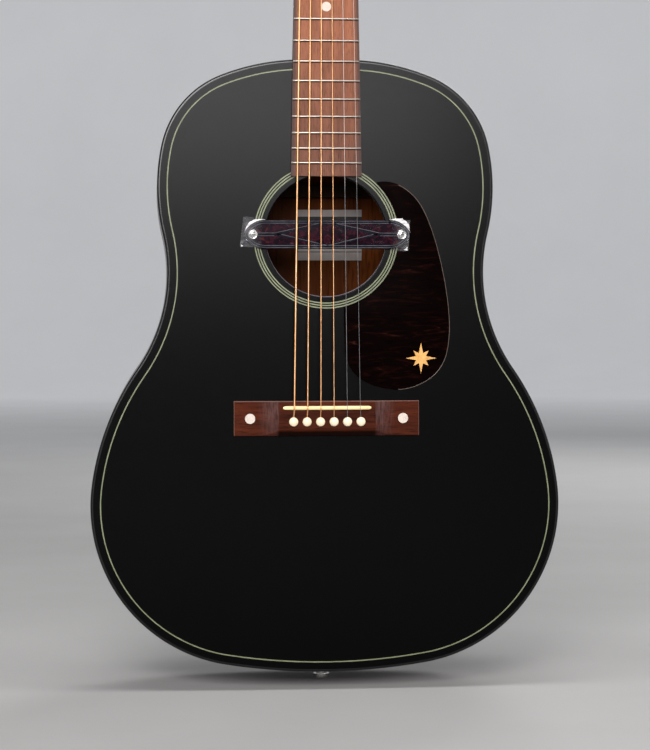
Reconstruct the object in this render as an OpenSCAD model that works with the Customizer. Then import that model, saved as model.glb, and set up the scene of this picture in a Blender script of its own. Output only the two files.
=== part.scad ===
// Slope-shoulder steel-string acoustic guitar with a soundhole pickup.
// X is to the right seen from the front, Y is towards the back, Z is up the neck.
// The origin is on the tail surface, on the axis of the end-pin jack.

/* [Scale and strings] */
// Free length of the strings, nut to saddle
scale_length = 647.7; // [645:0.1:650]
// Height of the fourteenth fret over the tail, where the neck meets the body
joint_z = 513.2; // [512.8:0.1:514]
// Extra string length at the saddle that keeps fretted notes in tune
compensation = 1.3; // [0.5:0.1:2]
// Number of frets
fret_count = 20; // [19:1:20]
// Distance between the outer strings at the nut
nut_spread = 35.8; // [34:0.1:37]
// Distance between the outer strings at the saddle
saddle_spread = 55.3; // [52:0.1:57]
// String height over the top at the nut
nut_string_height = 7.6; // [7.5:0.1:8.5]
// String height over the top at the saddle
saddle_string_height = 11.5; // [11:0.1:13]

/* [Body] */
// Body depth at the tail
tail_depth = 121; // [115:1:125]
// Body depth at the heel
heel_depth = 100; // [95:1:105]
// Radius of the arch across the back
back_arch = 4600; // [3500:100:6000]
// Thickness of the soundboard
top_thickness = 2.8; // [2.5:0.1:3.2]
// Thickness of the back
back_thickness = 2.8; // [2.5:0.1:3.2]
// Thickness of the bent sides and of the binding
side_thickness = 2.3; // [2:0.1:2.5]
// Height of the edge binding
binding_height = 6; // [5:0.5:7]
// Distance of the purfling line from the edge
purfling_inset = 8.5; // [7:0.5:9]
// Width of the purfling line
purfling_width = 1.2; // [0.8:0.1:1.6]

/* [Soundhole] */
// Height of the soundhole centre over the tail
hole_z = 367.4; // [366:0.1:368]
// Diameter of the soundhole
hole_diameter = 101.6; // [98:0.2:102]
// Inner radius of the rosette
rosette_inner = 55.6; // [55:0.1:56]
// Outer radius of the rosette
rosette_outer = 61; // [60.6:0.1:61.2]

/* [Neck] */
// Width of the nut
nut_width = 43; // [42:0.1:45]
// Width of the fretboard at its lower end
board_end_width = 59.3; // [58:0.1:60]
// Height of the lower end of the fretboard over the tail
board_end_z = 417.2; // [416.6:0.1:419]
// Thickness of the fretboard on its centre line
board_thickness = 6; // [5.5:0.1:6.5]
// Radius of the fretboard face
board_radius = 305; // [254:1:406]
// Depth of the neck under the fretboard at the nut
neck_depth_nut = 15; // [14:0.5:16]
// Depth of the neck under the fretboard at the heel
neck_depth_heel = 18; // [17:0.5:19]
// Backward tilt of the headstock
head_tilt = 14; // [12:1:16]
// Length of the headstock
head_length = 178; // [174:1:184]
// Thickness of the headstock
head_thickness = 15; // [14:0.5:16]

/* [Bridge] */
// Length of the bridge
bridge_length = 156; // [150:1:160]
// Height of the lower edge of the bridge over the tail
bridge_low_z = 199.6; // [199:0.1:201]
// Height of the upper edge of the bridge over the tail
bridge_high_z = 229; // [228.4:0.1:230]
// Thickness of the bridge in the middle
bridge_height = 8.6; // [8:0.1:9]
// Thickness of the bridge wings
wing_height = 3.4; // [3:0.1:4]
// Distance between two bridge pins
pin_pitch = 11.3; // [10.8:0.1:11.6]

/* [Pickup] */
// Length of the pickup across the soundhole
pickup_length = 140.4; // [138:0.1:141]
// Width of the pickup
pickup_width = 24; // [23:0.5:24.5]
// Distance between the two clamp screws
pickup_screw_span = 125; // [122:1:126]

/* [Tuners] */
// Number of teeth of each tuner gear
gear_teeth = 14; // [12:1:16]
// Radius of the string posts
post_radius = 3.15; // [3.1:0.01:3.18]
// Distance between neighbouring posts along the headstock
post_pitch = 38; // [36:1:40]

/* [Hidden] */
$fn = 48;

front_y = -tail_depth / 2;
taper = atan((tail_depth - heel_depth) / 512);
wall_gap = 0.1;

black = [0.05, 0.05, 0.055];
mahogany = [0.30, 0.12, 0.07];
spruce = [0.80, 0.66, 0.42];
rosewood = [0.22, 0.10, 0.07];
walnut = [0.42, 0.26, 0.20];
bone = [0.93, 0.89, 0.76];
sage = [0.70, 0.72, 0.60];
tortoise = [0.10, 0.04, 0.03];
nickel = [0.75, 0.75, 0.74];
gold = [0.80, 0.62, 0.25];

// Outline of one body half as tangent arcs from the middle of the heel end to the middle of
// the tail end: [radius, sweep in degrees], with a negative radius where the waist turns in.
flat_half = 18;
body_arcs = [[190.4, 21.5], [81.6, 56.4], [166.7, 25.3], [-142.4, 48.2], [219.1, 27.56],
    [135.7, 87.95]];

function arc_centre(pos, heading, radius) = pos + radius * [sin(heading), -cos(heading)];
function arc_end(pos, heading, arc) =
    let (centre = arc_centre(pos, heading, arc[0]), turned = heading - sign(arc[0]) * arc[1])
    [centre - arc[0] * [sin(turned), -cos(turned)], turned];
function arc_chain(i, pos, heading) =
    i == len(body_arcs)
    ? [[arc_centre(pos, heading, -pos[0] / sin(heading)), -pos[0] / sin(heading), heading, -180]]
    : let (end = arc_end(pos, heading, body_arcs[i]))
      concat([[arc_centre(pos, heading, body_arcs[i][0]), body_arcs[i][0], heading, end[1]]],
          arc_chain(i + 1, end[0], end[1]));
body_chain = arc_chain(0, [flat_half, 0], 0);
tail_arc = body_chain[len(body_chain) - 1];
body_length = tail_arc[1] - tail_arc[0][1];

// Points of the right half of the outline, moved inwards by inset
function arc_points(arc, inset) =
    let (steps = ceil(abs(arc[3] - arc[2]) / 3.6))
    [for (k = [0 : steps - 1])
        let (heading = arc[2] + (arc[3] - arc[2]) * k / steps)
        arc[0] - (arc[1] - inset) * [sin(heading), -cos(heading)] + [0, body_length]];
function half_outline(inset) = [for (arc = body_chain) each arc_points(arc, inset)];

// Closed smooth curve through a few anchor points (Catmull-Rom)
function smooth_point(a, b, c, d, t) =
    0.5 * ((2 * b) + (c - a) * t + (2 * a - 5 * b + 4 * c - d) * t * t
        + (3 * b - a - 3 * c + d) * t * t * t);
function smooth_loop(p, steps) = [for (i = [0 : len(p) - 1], k = [0 : steps - 1])
    smooth_point(p[(i + len(p) - 1) % len(p)], p[i], p[(i + 1) % len(p)],
        p[(i + 2) % len(p)], k / steps)];

scale_end_z = joint_z - scale_length * pow(2, -14 / 12);
saddle_z = scale_end_z - compensation;
nut_z = scale_end_z + scale_length;
nut_length = 5;
head_z = nut_z + nut_length;
bridge_mid_z = (bridge_low_z + bridge_high_z) / 2;
pin_z = 211.8;
hole_radius = hole_diameter / 2;

function fret_z(n) = scale_end_z + scale_length * pow(2, -n / 12);
function board_half(z) =
    (board_end_width + (nut_width - board_end_width) * (z - board_end_z) / (nut_z - board_end_z)) / 2;
function string_x(i, z) =
    (i - 2.5) / 5 * (nut_spread + (saddle_spread - nut_spread) * (nut_z - z) / scale_length);
function crown_drop(x) = board_radius - sqrt(board_radius * board_radius - x * x);

// String radii from the low E string to the high e string
string_radii = [0.69, 0.53, 0.41, 0.32, 0.20, 0.15];

// A point of the headstock frame (x, depth under the face, height over the nut) in the part frame
function on_head(p) = [p[0], front_y + p[1] * cos(head_tilt) + p[2] * sin(head_tilt),
    head_z - p[1] * sin(head_tilt) + p[2] * cos(head_tilt)];

module body_region(inset = 0) {
    half = half_outline(inset);
    last = len(half) - 1;
    polygon(concat(half, [[0, inset]], [for (i = [last : -1 : 0]) [-half[i][0], half[i][1]]]));
}

// A flat shape drawn on the front, filling the depths from near to far behind the top plane
module from_front(near, far) {
    translate([0, front_y + far, 0])
        rotate([90, 0, 0])
            linear_extrude(far - near)
                children();
}

// The space in front of the arched back, less a thickness
module before_back(less = 0) {
    translate([0, -front_y, 0])
        rotate([taper, 0, 0])
            translate([0, -back_arch, -60])
                cylinder(h = 660, r = back_arch - less, $fn = 256);
}

module ring_region(outer, inner) {
    difference() {
        body_region(outer);
        body_region(inner);
    }
}

module both_sides() {
    children();
    mirror([1, 0, 0]) children();
}

module rod(from, to, radius) {
    step = to - from;
    translate(from)
        rotate([0, acos(step[2] / norm(step)), atan2(step[1], step[0])])
            cylinder(h = norm(step), r = radius);
}

module headstock_frame() {
    translate([0, front_y, head_z])
        rotate([-head_tilt, 0, 0])
            children();
}

// Bridge pin hole with the notch for the string, cut through top, plate and bridge
module pin_holes(radius) {
    for (i = [0 : 5]) {
        translate([(i - 2.5) * pin_pitch, pin_z]) circle(radius);
        translate([(i - 2.5) * pin_pitch - 1, pin_z]) square([2, 4.4]);
    }
}

module pin_positions() {
    for (i = [0 : 5])
        translate([(i - 2.5) * pin_pitch, front_y, pin_z])
            rotate([90, 0, 0])
                children();
}

// ---- Body ----

module soundboard() {
    color(black)
    difference() {
        from_front(0, top_thickness) body_region(side_thickness);
        from_front(-1, top_thickness + 1) translate([0, hole_z]) circle(hole_radius);
        from_front(-1, 1) ring_region(purfling_inset - purfling_width / 2,
            purfling_inset + purfling_width / 2);
        rosette_rings(-1);
        from_front(-1, top_thickness + 1) pin_holes(2.4);
        from_front(-1, top_thickness + 1) both_sides() translate([bolt_x, bridge_mid_z]) circle(2);
    }
}

ring_width = 1.25;
bolt_x = 64.4;

module rosette_rings(near) {
    ring_mid = (rosette_inner + rosette_outer) / 2;
    for (radius = [rosette_inner + ring_width / 2, ring_mid, rosette_outer - ring_width / 2])
        from_front(near, 1)
            translate([0, hole_z])
                difference() {
                    circle(radius + ring_width / 2);
                    circle(radius - ring_width / 2);
                }
}

module rosette() {
    color(sage)
    difference() {
        rosette_rings(0);
        from_front(-1, 2) translate([-30, board_end_z]) square([60, 30]);
    }
}

module front_purfling() {
    color(sage)
        from_front(0, 1)
            ring_region(purfling_inset - purfling_width / 2, purfling_inset + purfling_width / 2);
}

// The binding is rounded over in two small steps at its outer corner
module front_binding() {
    color(black)
    difference() {
        union() {
            from_front(0, 0.4) ring_region(1, side_thickness);
            from_front(0.4, 1) ring_region(0.4, side_thickness);
            from_front(1, binding_height) ring_region(0, side_thickness);
        }
        from_front(top_thickness, binding_height + 1) neck_joint(wall_gap);
    }
}

module side_shell() {
    difference() {
        intersection() {
            from_front(binding_height, tail_depth + 5) ring_region(0, side_thickness);
            before_back(binding_height);
        }
        translate([0, 0, -20]) cylinder(h = 40, r = jack_barrel_radius + wall_gap);
        from_front(top_thickness, tenon_depth + wall_gap) neck_joint(wall_gap);
    }
}

module side_left() {
    color(mahogany)
    intersection() {
        side_shell();
        translate([-300, -200, -50]) cube([300, 400, 700]);
    }
}

module side_right() {
    color(mahogany)
    intersection() {
        side_shell();
        translate([0, -200, -50]) cube([300, 400, 700]);
    }
}

module back_plate() {
    color(mahogany)
    difference() {
        intersection() {
            from_front(60, tail_depth + 5) body_region(side_thickness);
            before_back(0);
        }
        before_back(back_thickness);
    }
}

module back_binding() {
    color(black)
    difference() {
        intersection() {
            from_front(60, tail_depth + 5) ring_region(0, side_thickness);
            before_back(0);
        }
        before_back(binding_height);
    }
}

strip_thickness = 1.2;
back_brace_z = [90, 190, 300, 410];

module back_center_strip() {
    color(mahogany)
    difference() {
        intersection() {
            from_front(60, tail_depth + 5) translate([-8, 34]) square([16, body_length - 98]);
            before_back(back_thickness);
        }
        before_back(back_thickness + strip_thickness);
        for (z = back_brace_z)
            translate([-20, 0, z - 5.1]) cube([40, 100, 10.2]);
    }
}

module linings() {
    color(spruce)
    difference() {
        union() {
            from_front(top_thickness, top_thickness + 14) ring_region(side_thickness, 8);
            difference() {
                intersection() {
                    from_front(60, tail_depth + 5) ring_region(side_thickness, 8);
                    before_back(back_thickness);
                }
                before_back(back_thickness + 14);
            }
        }
        block_space();
    }
}

neck_block_half = 38;
neck_block_low = 455;
tail_block_half = 40;
tail_block_high = 24;

module block_space() {
    translate([-neck_block_half, -100, neck_block_low]) cube([2 * neck_block_half, 200, 100]);
    translate([-tail_block_half, -100, -10]) cube([2 * tail_block_half, 200, tail_block_high + 10]);
}

tenon_depth = 74;

// Plan of the dovetail that ties the neck into the block
module neck_joint(gap) {
    polygon([[-13 - gap, body_length + 3], [13 + gap, body_length + 3],
        [17 + gap, body_length - 20 - gap], [-17 - gap, body_length - 20 - gap]]);
}

module neck_block() {
    color(mahogany)
    difference() {
        intersection() {
            from_front(top_thickness, tail_depth) {
                intersection() {
                    body_region(side_thickness);
                    translate([-neck_block_half, neck_block_low])
                        square([2 * neck_block_half, 100]);
                }
            }
            before_back(back_thickness);
        }
        from_front(top_thickness - 1, tenon_depth + wall_gap) neck_joint(wall_gap);
    }
}

module tail_block() {
    color(mahogany)
    difference() {
        intersection() {
            from_front(top_thickness, tail_depth + 5) {
                intersection() {
                    body_region(side_thickness);
                    translate([-tail_block_half, -10])
                        square([2 * tail_block_half, tail_block_high + 10]);
                }
            }
            before_back(back_thickness);
        }
        translate([0, 0, -20]) cylinder(h = 60, r = jack_barrel_radius + wall_gap);
    }
}

// ---- Bracing ----

// One brace glued under the top: a bar with its ends thinned, lying along its own X
module top_brace(length, width, height) {
    end = length / 2;
    slope = min(40, length / 3);
    translate([0, width / 2, 0])
        rotate([90, 0, 0])
            linear_extrude(width)
                polygon([[-end, 0], [end, 0], [end, 3], [end - slope, height],
                    [slope - end, height], [-end, 3]]);
}

module under_top(x, z, angle) {
    translate([x, front_y + top_thickness, z])
        rotate([0, -angle, 0])
            rotate([-90, 0, 0])
                children();
}

x_cross_z = 285;
x_angle = 42;

module x_braces() {
    color(spruce)
    difference() {
        intersection() {
            union() {
                under_top(0, x_cross_z, x_angle) top_brace(440, 8, 14);
                under_top(0, x_cross_z, -x_angle) top_brace(440, 8, 14);
            }
            from_front(0, 40) body_region(9);
        }
        from_front(0, 40) translate([0, hole_z]) circle(hole_radius + 4);
        from_front(top_thickness - 1, top_thickness + 4) plate_region(0.2);
        block_space();
    }
}

module plate_region(gap) {
    translate([-75 - gap, bridge_low_z - 6 - gap])
        square([150 + 2 * gap, bridge_high_z - bridge_low_z + 10 + 2 * gap]);
}

// Transverse brace over the soundhole, two tone bars and two pairs of finger braces
module face_braces() {
    color(spruce) {
        under_top(0, 438, 0) top_brace(232, 12, 15);
        under_top(28, 150, 28) top_brace(150, 6, 12);
        under_top(8, 96, 28) top_brace(150, 6, 12);
        for (side = [-1, 1]) {
            under_top(side * 98, 276, side * -16) top_brace(44, 6, 9);
            under_top(side * 118, 236, side * -30) top_brace(56, 6, 9);
        }
    }
}

module back_braces() {
    color(spruce)
    difference() {
        intersection() {
            from_front(60, tail_depth + 5) {
                intersection() {
                    body_region(9);
                    for (z = back_brace_z)
                        translate([-200, z - 5]) square([400, 10]);
                }
            }
            before_back(back_thickness);
        }
        before_back(back_thickness + 15);
    }
}

module bridge_plate() {
    color(rosewood)
    difference() {
        from_front(top_thickness, top_thickness + 2.5) plate_region(0);
        from_front(0, 10) pin_holes(2.4);
        from_front(0, 10) both_sides() translate([bolt_x, bridge_mid_z]) circle(2);
    }
}

// Blank paper label on the inside of the back
module sound_label() {
    color(bone)
    difference() {
        intersection() {
            from_front(60, tail_depth) translate([-16, 347.2]) square([57, 46]);
            before_back(back_thickness + strip_thickness);
        }
        before_back(back_thickness + strip_thickness + 0.4);
    }
}

// ---- Bridge ----

bridge_core_half = 40;
bridge_scoop_end = 56;

// Cross profile of the bridge: full height in the middle, a cosine scoop, then thin wings
module bridge_profile() {
    half = bridge_length / 2;
    scoop = [for (k = [0 : 8])
        let (x = bridge_core_half + (bridge_scoop_end - bridge_core_half) * k / 8)
        [x, wing_height + (bridge_height - wing_height) * (1 - sin(90 * k / 8))]];
    right = concat([[half, 0], [half, wing_height - 0.8], [half - 0.8, wing_height]],
        [for (k = [8 : -1 : 0]) scoop[k]]);
    polygon(concat(right, [for (k = [len(right) - 1 : -1 : 0]) [-right[k][0], right[k][1]]]));
}

module bridge() {
    color(rosewood)
    difference() {
        intersection() {
            translate([0, front_y, bridge_low_z])
                rotate([90, 0, 0])
                    rotate([90, 0, 0])
                        translate([0, 0, bridge_low_z - bridge_high_z])
                            mirror([0, 1, 0])
                                linear_extrude(bridge_high_z - bridge_low_z)
                                    mirror([0, 1, 0]) bridge_profile();
            bridge_end_view();
        }
        translate([-saddle_half, front_y - bridge_height - 1, saddle_z - saddle_width / 2])
            cube([2 * saddle_half, bridge_height - 1.6, saddle_width]);
        from_front(-bridge_height - 1, 1) pin_holes(2.4);
        from_front(-bridge_height - 1, 1)
            both_sides() translate([bolt_x, bridge_mid_z]) circle(2);
        from_front(-bridge_height - 1, 1 - wing_height)
            both_sides() translate([bolt_x, bridge_mid_z]) circle(4.25);
    }
}

// Side view of the bridge with its two long edges bevelled
module bridge_end_view() {
    rotate([90, 0, 90])
        translate([0, 0, -100])
            linear_extrude(200)
                polygon([[front_y, bridge_low_z], [front_y, bridge_high_z],
                    [front_y - 5, bridge_high_z], [front_y - bridge_height, bridge_high_z - 1.6],
                    [front_y - bridge_height, bridge_low_z + 5.5],
                    [front_y - wing_height, bridge_low_z + 0.4],
                    [front_y - wing_height + 0.6, bridge_low_z]]);
}

saddle_half = 37;
saddle_width = 3.2;

module saddle() {
    crest = saddle_string_height - 0.2;
    color(bone)
    intersection() {
        translate([-saddle_half, front_y - 20, saddle_z - saddle_width / 2])
            cube([2 * saddle_half, 20 - 2.6, saddle_width]);
        translate([0, front_y - crest + board_radius, saddle_z - 5])
            cylinder(h = 10, r = board_radius, $fn = 720);
        rotate([90, 0, 90])
            translate([0, 0, -60])
                linear_extrude(120)
                    translate([front_y - crest, saddle_z])
                        polygon([[0, -0.5], [0, 0.5], [0.35, 1.1], [1, 1.5], [2, 1.6], [14, 1.6],
                            [14, -1.6], [2, -1.6], [1, -1.5], [0.35, -1.1]]);
    }
}

module bridge_pins() {
    color(bone)
    pin_positions()
        difference() {
            union() {
                translate([0, 0, -22]) cylinder(h = 22.5 + bridge_height, r = 2.3);
                translate([0, 0, bridge_height + 0.1]) cylinder(h = 1.2, r = 3.85);
                translate([0, 0, bridge_height + 0.3])
                    intersection() {
                        translate([0, 0, -1.2]) sphere(4.4);
                        cylinder(h = 8, r = 3.85);
                    }
            }
            translate([-0.85, 1.4, -30]) cube([1.7, 4, 31.7 + bridge_height]);
        }
}

module bridge_dots() {
    color(bone)
        from_front(-wing_height - 0.4, 1 - wing_height)
            both_sides() translate([bolt_x, bridge_mid_z]) circle(4.25);
}

// Screws hidden under the dots, with their nuts against the bridge plate
module bridge_bolts() {
    color(nickel)
    both_sides()
        translate([bolt_x, front_y, bridge_mid_z])
            rotate([-90, 0, 0]) {
                translate([0, 0, -2.4]) cylinder(h = 12.6, r = 1.9);
                translate([0, 0, top_thickness + 2.5]) cylinder(h = 3, r = 4, $fn = 6);
            }
}

// ---- Pickguard ----

guard_anchors = [[30, 406], [46, 413], [61, 410.4], [75.5, 399.5], [86, 381.5], [95.5, 352],
    [102.6, 315], [104.2, 284], [99, 260.5], [84.3, 245], [60.7, 238], [32.8, 244.8],
    [18, 261], [15.2, 286], [15.4, 322], [20, 380]];

module pickguard_region() {
    difference() {
        polygon(smooth_loop(guard_anchors, 5));
        translate([0, hole_z]) circle(rosette_outer + 0.3, $fn = 120);
    }
}

module pickguard() {
    color(tortoise)
        from_front(-1.3, 0)
            pickguard_region();
}

// Plain eight-pointed star laid on the pickguard
module pickguard_emblem() {
    color(gold)
        from_front(-1.55, -1.3)
            translate([79.9, 264.6])
                polygon([for (k = [0 : 15])
                    (k % 2 == 1 ? 4.6 : k % 4 == 0 ? 13 : 9) * [sin(22.5 * k), cos(22.5 * k)]]);
}

// ---- Soundhole pickup ----

pickup_z = 368.5;
pickup_x = 0.7;
pickup_top = 5;
cover_floor = 1.4;

// Plan of the pickup: parallel sides that curve together to a point at each end
module pickup_region(inset = 0) {
    wide = pickup_width / 2;
    nose = 18.2;
    shoulder = pickup_length / 2 - nose;
    radius = (nose * nose + wide * wide) / (2 * wide);
    last = acos((radius - wide) / (radius - inset));
    upper = [for (k = [0 : 6])
        let (turn = last * k / 6)
        [shoulder + (radius - inset) * sin(turn), wide - radius + (radius - inset) * cos(turn)]];
    right = concat(upper, [for (k = [5 : -1 : 0]) [upper[k][0], -upper[k][1]]]);
    translate([pickup_x, pickup_z])
        polygon(concat(right, [for (p = right) -p]));
}

module pickup_cover() {
    color(tortoise)
    difference() {
        union() {
            from_front(-pickup_top, -cover_floor) pickup_region();
            from_front(-cover_floor - 0.1, 10)
                translate([pickup_x - 41, pickup_z - 9.5]) square([82, 19]);
        }
        from_front(-3.4, 11) translate([pickup_x - 39, pickup_z - 7.5]) square([78, 15]);
        from_front(-3.4, 0)
            translate([pickup_x, pickup_z])
                both_sides() translate([42.5, -5.1]) square([pickup_screw_span / 2 - 36.4, 10.2]);
        from_front(-10, 10)
            translate([pickup_x, pickup_z])
                both_sides() translate([pickup_screw_span / 2, 0]) circle(1.7);
        from_front(-10, 0.25 - pickup_top) pickup_pattern();
    }
}

// Elongated diamond with a line running out to each screw
module pickup_pattern() {
    translate([pickup_x, pickup_z]) {
        difference() {
            polygon([[-44, 0], [0, 9.6], [44, 0], [0, -9.6]]);
            polygon([[-40, 0], [0, 8.7], [40, 0], [0, -8.7]]);
        }
        both_sides() translate([43, -0.7]) square([14, 1.4]);
    }
    difference() {
        pickup_region(1.5);
        pickup_region(2.1);
    }
}

module pickup_inlay() {
    color(nickel)
        from_front(-pickup_top, 0.25 - pickup_top) pickup_pattern();
}

module pickup_bobbin() {
    color(black)
        difference() {
            from_front(-3.3, 10)
                translate([pickup_x - 37.5, pickup_z - 6.5]) square([75, 13]);
            difference() {
                from_front(-1, 8.6)
                    translate([pickup_x - 40, pickup_z - 8]) square([80, 16]);
                from_front(-1.1, 8.7)
                    translate([pickup_x - 33, pickup_z - 3]) square([66, 6]);
            }
            from_front(-1, 12)
                translate([pickup_x - 31, pickup_z - 1.6]) square([62, 3.2]);
        }
}

module pickup_coil() {
    color([0.55, 0.25, 0.10])
        from_front(-0.9, 8.5)
            translate([pickup_x, pickup_z])
                difference() {
                    square([73, 11], center = true);
                    square([66.1, 6.1], center = true);
                }
}

module pickup_magnet() {
    color(nickel)
        from_front(-0.9, 11.5)
            translate([pickup_x - 30.8, pickup_z - 1.5]) square([61.6, 3]);
}

// Bent brackets: one leg under the cover end, one foot hooked under the edge of the top
module pickup_clamps() {
    color(nickel)
        both_about_pickup()
            difference() {
                rotate([90, 0, 0])
                    linear_extrude(10, center = true)
                        polygon([[43, 3.3], [68, 3.3], [68, 1.9], [44.4, 1.9], [44.4, -2.9],
                            [60, -2.9], [60, -4.3], [43, -4.3]]);
                translate([pickup_screw_span / 2, 0, 0]) cylinder(h = 6, r = 1.4);
            }
}

// Pickup frame: X across, Z out of the top, mirrored to both ends
module both_about_pickup() {
    translate([pickup_x, front_y, pickup_z])
        rotate([90, 0, 0]) both_sides() children();
}

module pickup_screws() {
    color(nickel)
        both_about_pickup()
            translate([pickup_screw_span / 2, 0, 0])
                difference() {
                    union() {
                        translate([0, 0, 1.7]) cylinder(h = pickup_top - 1.5, r = 1.3);
                        translate([0, 0, pickup_top]) cylinder(h = 0.5, r = 3.9);
                        translate([0, 0, pickup_top + 0.4])
                            intersection() {
                                translate([0, 0, -2.9]) sphere(4.4);
                                cylinder(h = 6, r = 2.8);
                            }
                    }
                    for (turn = [0, 90])
                        rotate(turn)
                            translate([-1.8, -0.3, pickup_top + 0.7]) cube([3.6, 0.6, 3]);
                }
}

// Felt pads that keep the cover ends off the top
module pickup_pads() {
    color(black)
        both_about_pickup()
            translate([50.6, -4.5, 0]) cube([4.6, 9, cover_floor]);
}

// Clear protective film left on the pickup, a little larger than its face
module pickup_film() {
    color([0.85, 0.88, 0.9, 0.4])
        difference() {
            from_front(-pickup_top - 0.35, -pickup_top - 0.1)
                translate([pickup_x, pickup_z])
                    polygon([[-71, 14.5], [70, 12], [68.5, -14], [-74, -10.5]]);
            from_front(-10, 10)
                translate([pickup_x, pickup_z])
                    both_sides() translate([pickup_screw_span / 2, 0]) circle(4.3);
        }
}

// Way the cable goes, each point as across, depth below the top, and height
lead_points = [[34, 10.05, 372.7], [34, 13, 372.7], [48, 19, 369], [62, 27, 356], [72, 38, 320],
    [66, 52, 200], [34, 56, 110], [0, 60.5, 58.1]];

// Cable inside the body, from the pickup to the end-pin jack
module pickup_lead() {
    shifted = [for (p = lead_points) [p[0], front_y + p[1], p[2]]];
    color(black)
        for (k = [0 : len(shifted) - 2]) {
            rod(shifted[k], shifted[k + 1], 1.6);
            if (k > 0) translate(shifted[k]) sphere(1.7);
        }
}

// ---- End-pin jack ----

jack_barrel_radius = 6;
jack_bore_radius = 3.2;

// Barrel through the tail block with the strap collar outside the body
module end_jack() {
    color(nickel)
    difference() {
        union() {
            translate([0, 0, -1]) cylinder(h = 59, r = jack_barrel_radius - 0.3);
            translate([0, 0, -11]) cylinder(h = 11, r = 4.6);
            translate([0, 0, -14]) cylinder(h = 3.2, r = 7);
            translate([0, 0, -2]) cylinder(h = 2, r = 7.6);
        }
        translate([0, 0, -15]) cylinder(h = 50, r = jack_bore_radius);
    }
}

module jack_hardware() {
    color(nickel)
        for (z = [0 : 1])
            translate([0, 0, tail_block_high + 0.05 + z * 1.3])
                difference() {
                    cylinder(h = z == 0 ? 1.2 : 4, r = z == 0 ? 9 : 8, $fn = z == 0 ? 48 : 6);
                    translate([0, 0, -1]) cylinder(h = 8, r = jack_barrel_radius - 0.3);
                }
}

// ---- Neck ----

// Half-width, depth and squareness of the neck section at each height
heel_height = 74;

function heel_extra(z) =
    let (t = (z - body_length) / heel_height)
    t >= 1 ? 0 : (heel_depth - neck_depth_heel - 6) * pow(1 - t, 2.3);
function neck_depth(z) =
    let (t = (z - body_length) / (nut_z - body_length))
    neck_depth_heel + (neck_depth_nut - neck_depth_heel) * t + heel_extra(z);
function neck_section(z, top_y, half, depth, fullness) = [for (k = [0 : 20])
    let (a = 9 * k, c = cos(a), s = sin(a))
    [half * sign(c) * pow(abs(c), 2 / fullness), top_y + depth * pow(abs(s), 2 / fullness), z]];

head_blend = 27;
neck_sections = concat(
    [for (t = [0 : 0.07 : 1])
        let (z = body_length + 0.1 + heel_height * t)
        neck_section(z, front_y, board_half(z), neck_depth(z), 2 + 0.4 * t)],
    [for (t = [0.15 : 0.17 : 1])
        let (z = body_length + heel_height + (nut_z - body_length - heel_height) * t)
        neck_section(z, front_y, board_half(z), neck_depth(z), 2.4)],
    [for (t = [0 : 0.2 : 1])
        let (z = head_z + head_blend * t, half = nut_width / 2 + 3.4 * t * t)
        neck_section(z, front_y + head_blend * t * tan(head_tilt) + 0.2 * t, half,
            neck_depth_nut + (head_thickness / cos(head_tilt) - neck_depth_nut - 0.6) * t
                + 2.4 * sin(180 * t), 2.4 + 7 * t * t)]);

module lofted(sections) {
    rows = len(sections);
    count = len(sections[0]);
    polyhedron(
        points = [for (s = sections) each s],
        faces = concat(
            [[for (k = [0 : count - 1]) k]],
            [[for (k = [count - 1 : -1 : 0]) (rows - 1) * count + k]],
            [for (r = [0 : rows - 2], k = [0 : count - 1])
                [r * count + k, (r + 1) * count + k, (r + 1) * count + (k + 1) % count]],
            [for (r = [0 : rows - 2], k = [0 : count - 1])
                [r * count + k, (r + 1) * count + (k + 1) % count, r * count + (k + 1) % count]]),
        convexity = 8);
}

// Plan of the headstock: flared, with a low crown
module head_region(low = 22) {
    polygon([[-25, low], [25, low], [30.5, 44], [34, 78], [36.8, 120], [38.6, head_length - 18],
        [37, head_length - 8], [31, head_length - 2], [20, head_length - 1],
        [8, head_length + 3], [0, head_length + 4], [-8, head_length + 3],
        [-20, head_length - 1], [-31, head_length - 2], [-37, head_length - 8],
        [-38.6, head_length - 18], [-36.8, 120], [-34, 78], [-30.5, 44]]);
}

rod_depth = 9;
rod_radius = 2.4;

module neck() {
    color(mahogany)
    difference() {
        union() {
            lofted(neck_sections);
            headstock_frame()
                translate([0, head_thickness, 0])
                    rotate([90, 0, 0]) linear_extrude(head_thickness) head_region(22);
            from_front(top_thickness + 0.1, tenon_depth) neck_joint(0);
        }
        translate([-2.9, front_y - 1, body_length - 60]) cube([5.8, rod_depth + 1, 420]);
        headstock_frame() translate([-7, -2, -nut_length - 3]) cube([14, 13.6, 44]);
        for (i = [0 : 5])
            headstock_frame()
                translate([post_x(i), -10, post_z(i)])
                    rotate([-90, 0, 0]) cylinder(h = 40, r = 4.4);
    }
}

function post_row(i) = i < 3 ? i : 5 - i;
function post_side(i) = i < 3 ? -1 : 1;
function post_x(i) = post_side(i) * (21 + 1.6 * post_row(i));
function post_z(i) = 47 + post_pitch * post_row(i);

module board_plan() {
    polygon([[-board_half(board_end_z), board_end_z], [board_half(board_end_z), board_end_z],
        [board_half(nut_z), nut_z], [-board_half(nut_z), nut_z]]);
}

module board_crown(height) {
    translate([0, front_y - height + board_radius, board_end_z - 20])
        cylinder(h = nut_z - board_end_z + 60, r = board_radius, $fn = 720);
}

module fretboard() {
    color(walnut)
    difference() {
        intersection() {
            from_front(-board_thickness - 1, 0) board_plan();
            board_crown(board_thickness);
        }
        for (n = [1 : fret_count])
            translate([-40, front_y - board_thickness - 1, fret_z(n) - 0.3])
                cube([80, 3.4, 0.6]);
        dot_positions() cylinder(h = 3, r = 4);
        side_dot_positions() cylinder(h = 3, r = 1);
    }
}

// Dots lie flush with the crown of the fretboard
dot_frets = [3, 5, 7, 9, 12];
function dot_z(n) = (fret_z(n) + fret_z(n - 1)) / 2;

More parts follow.
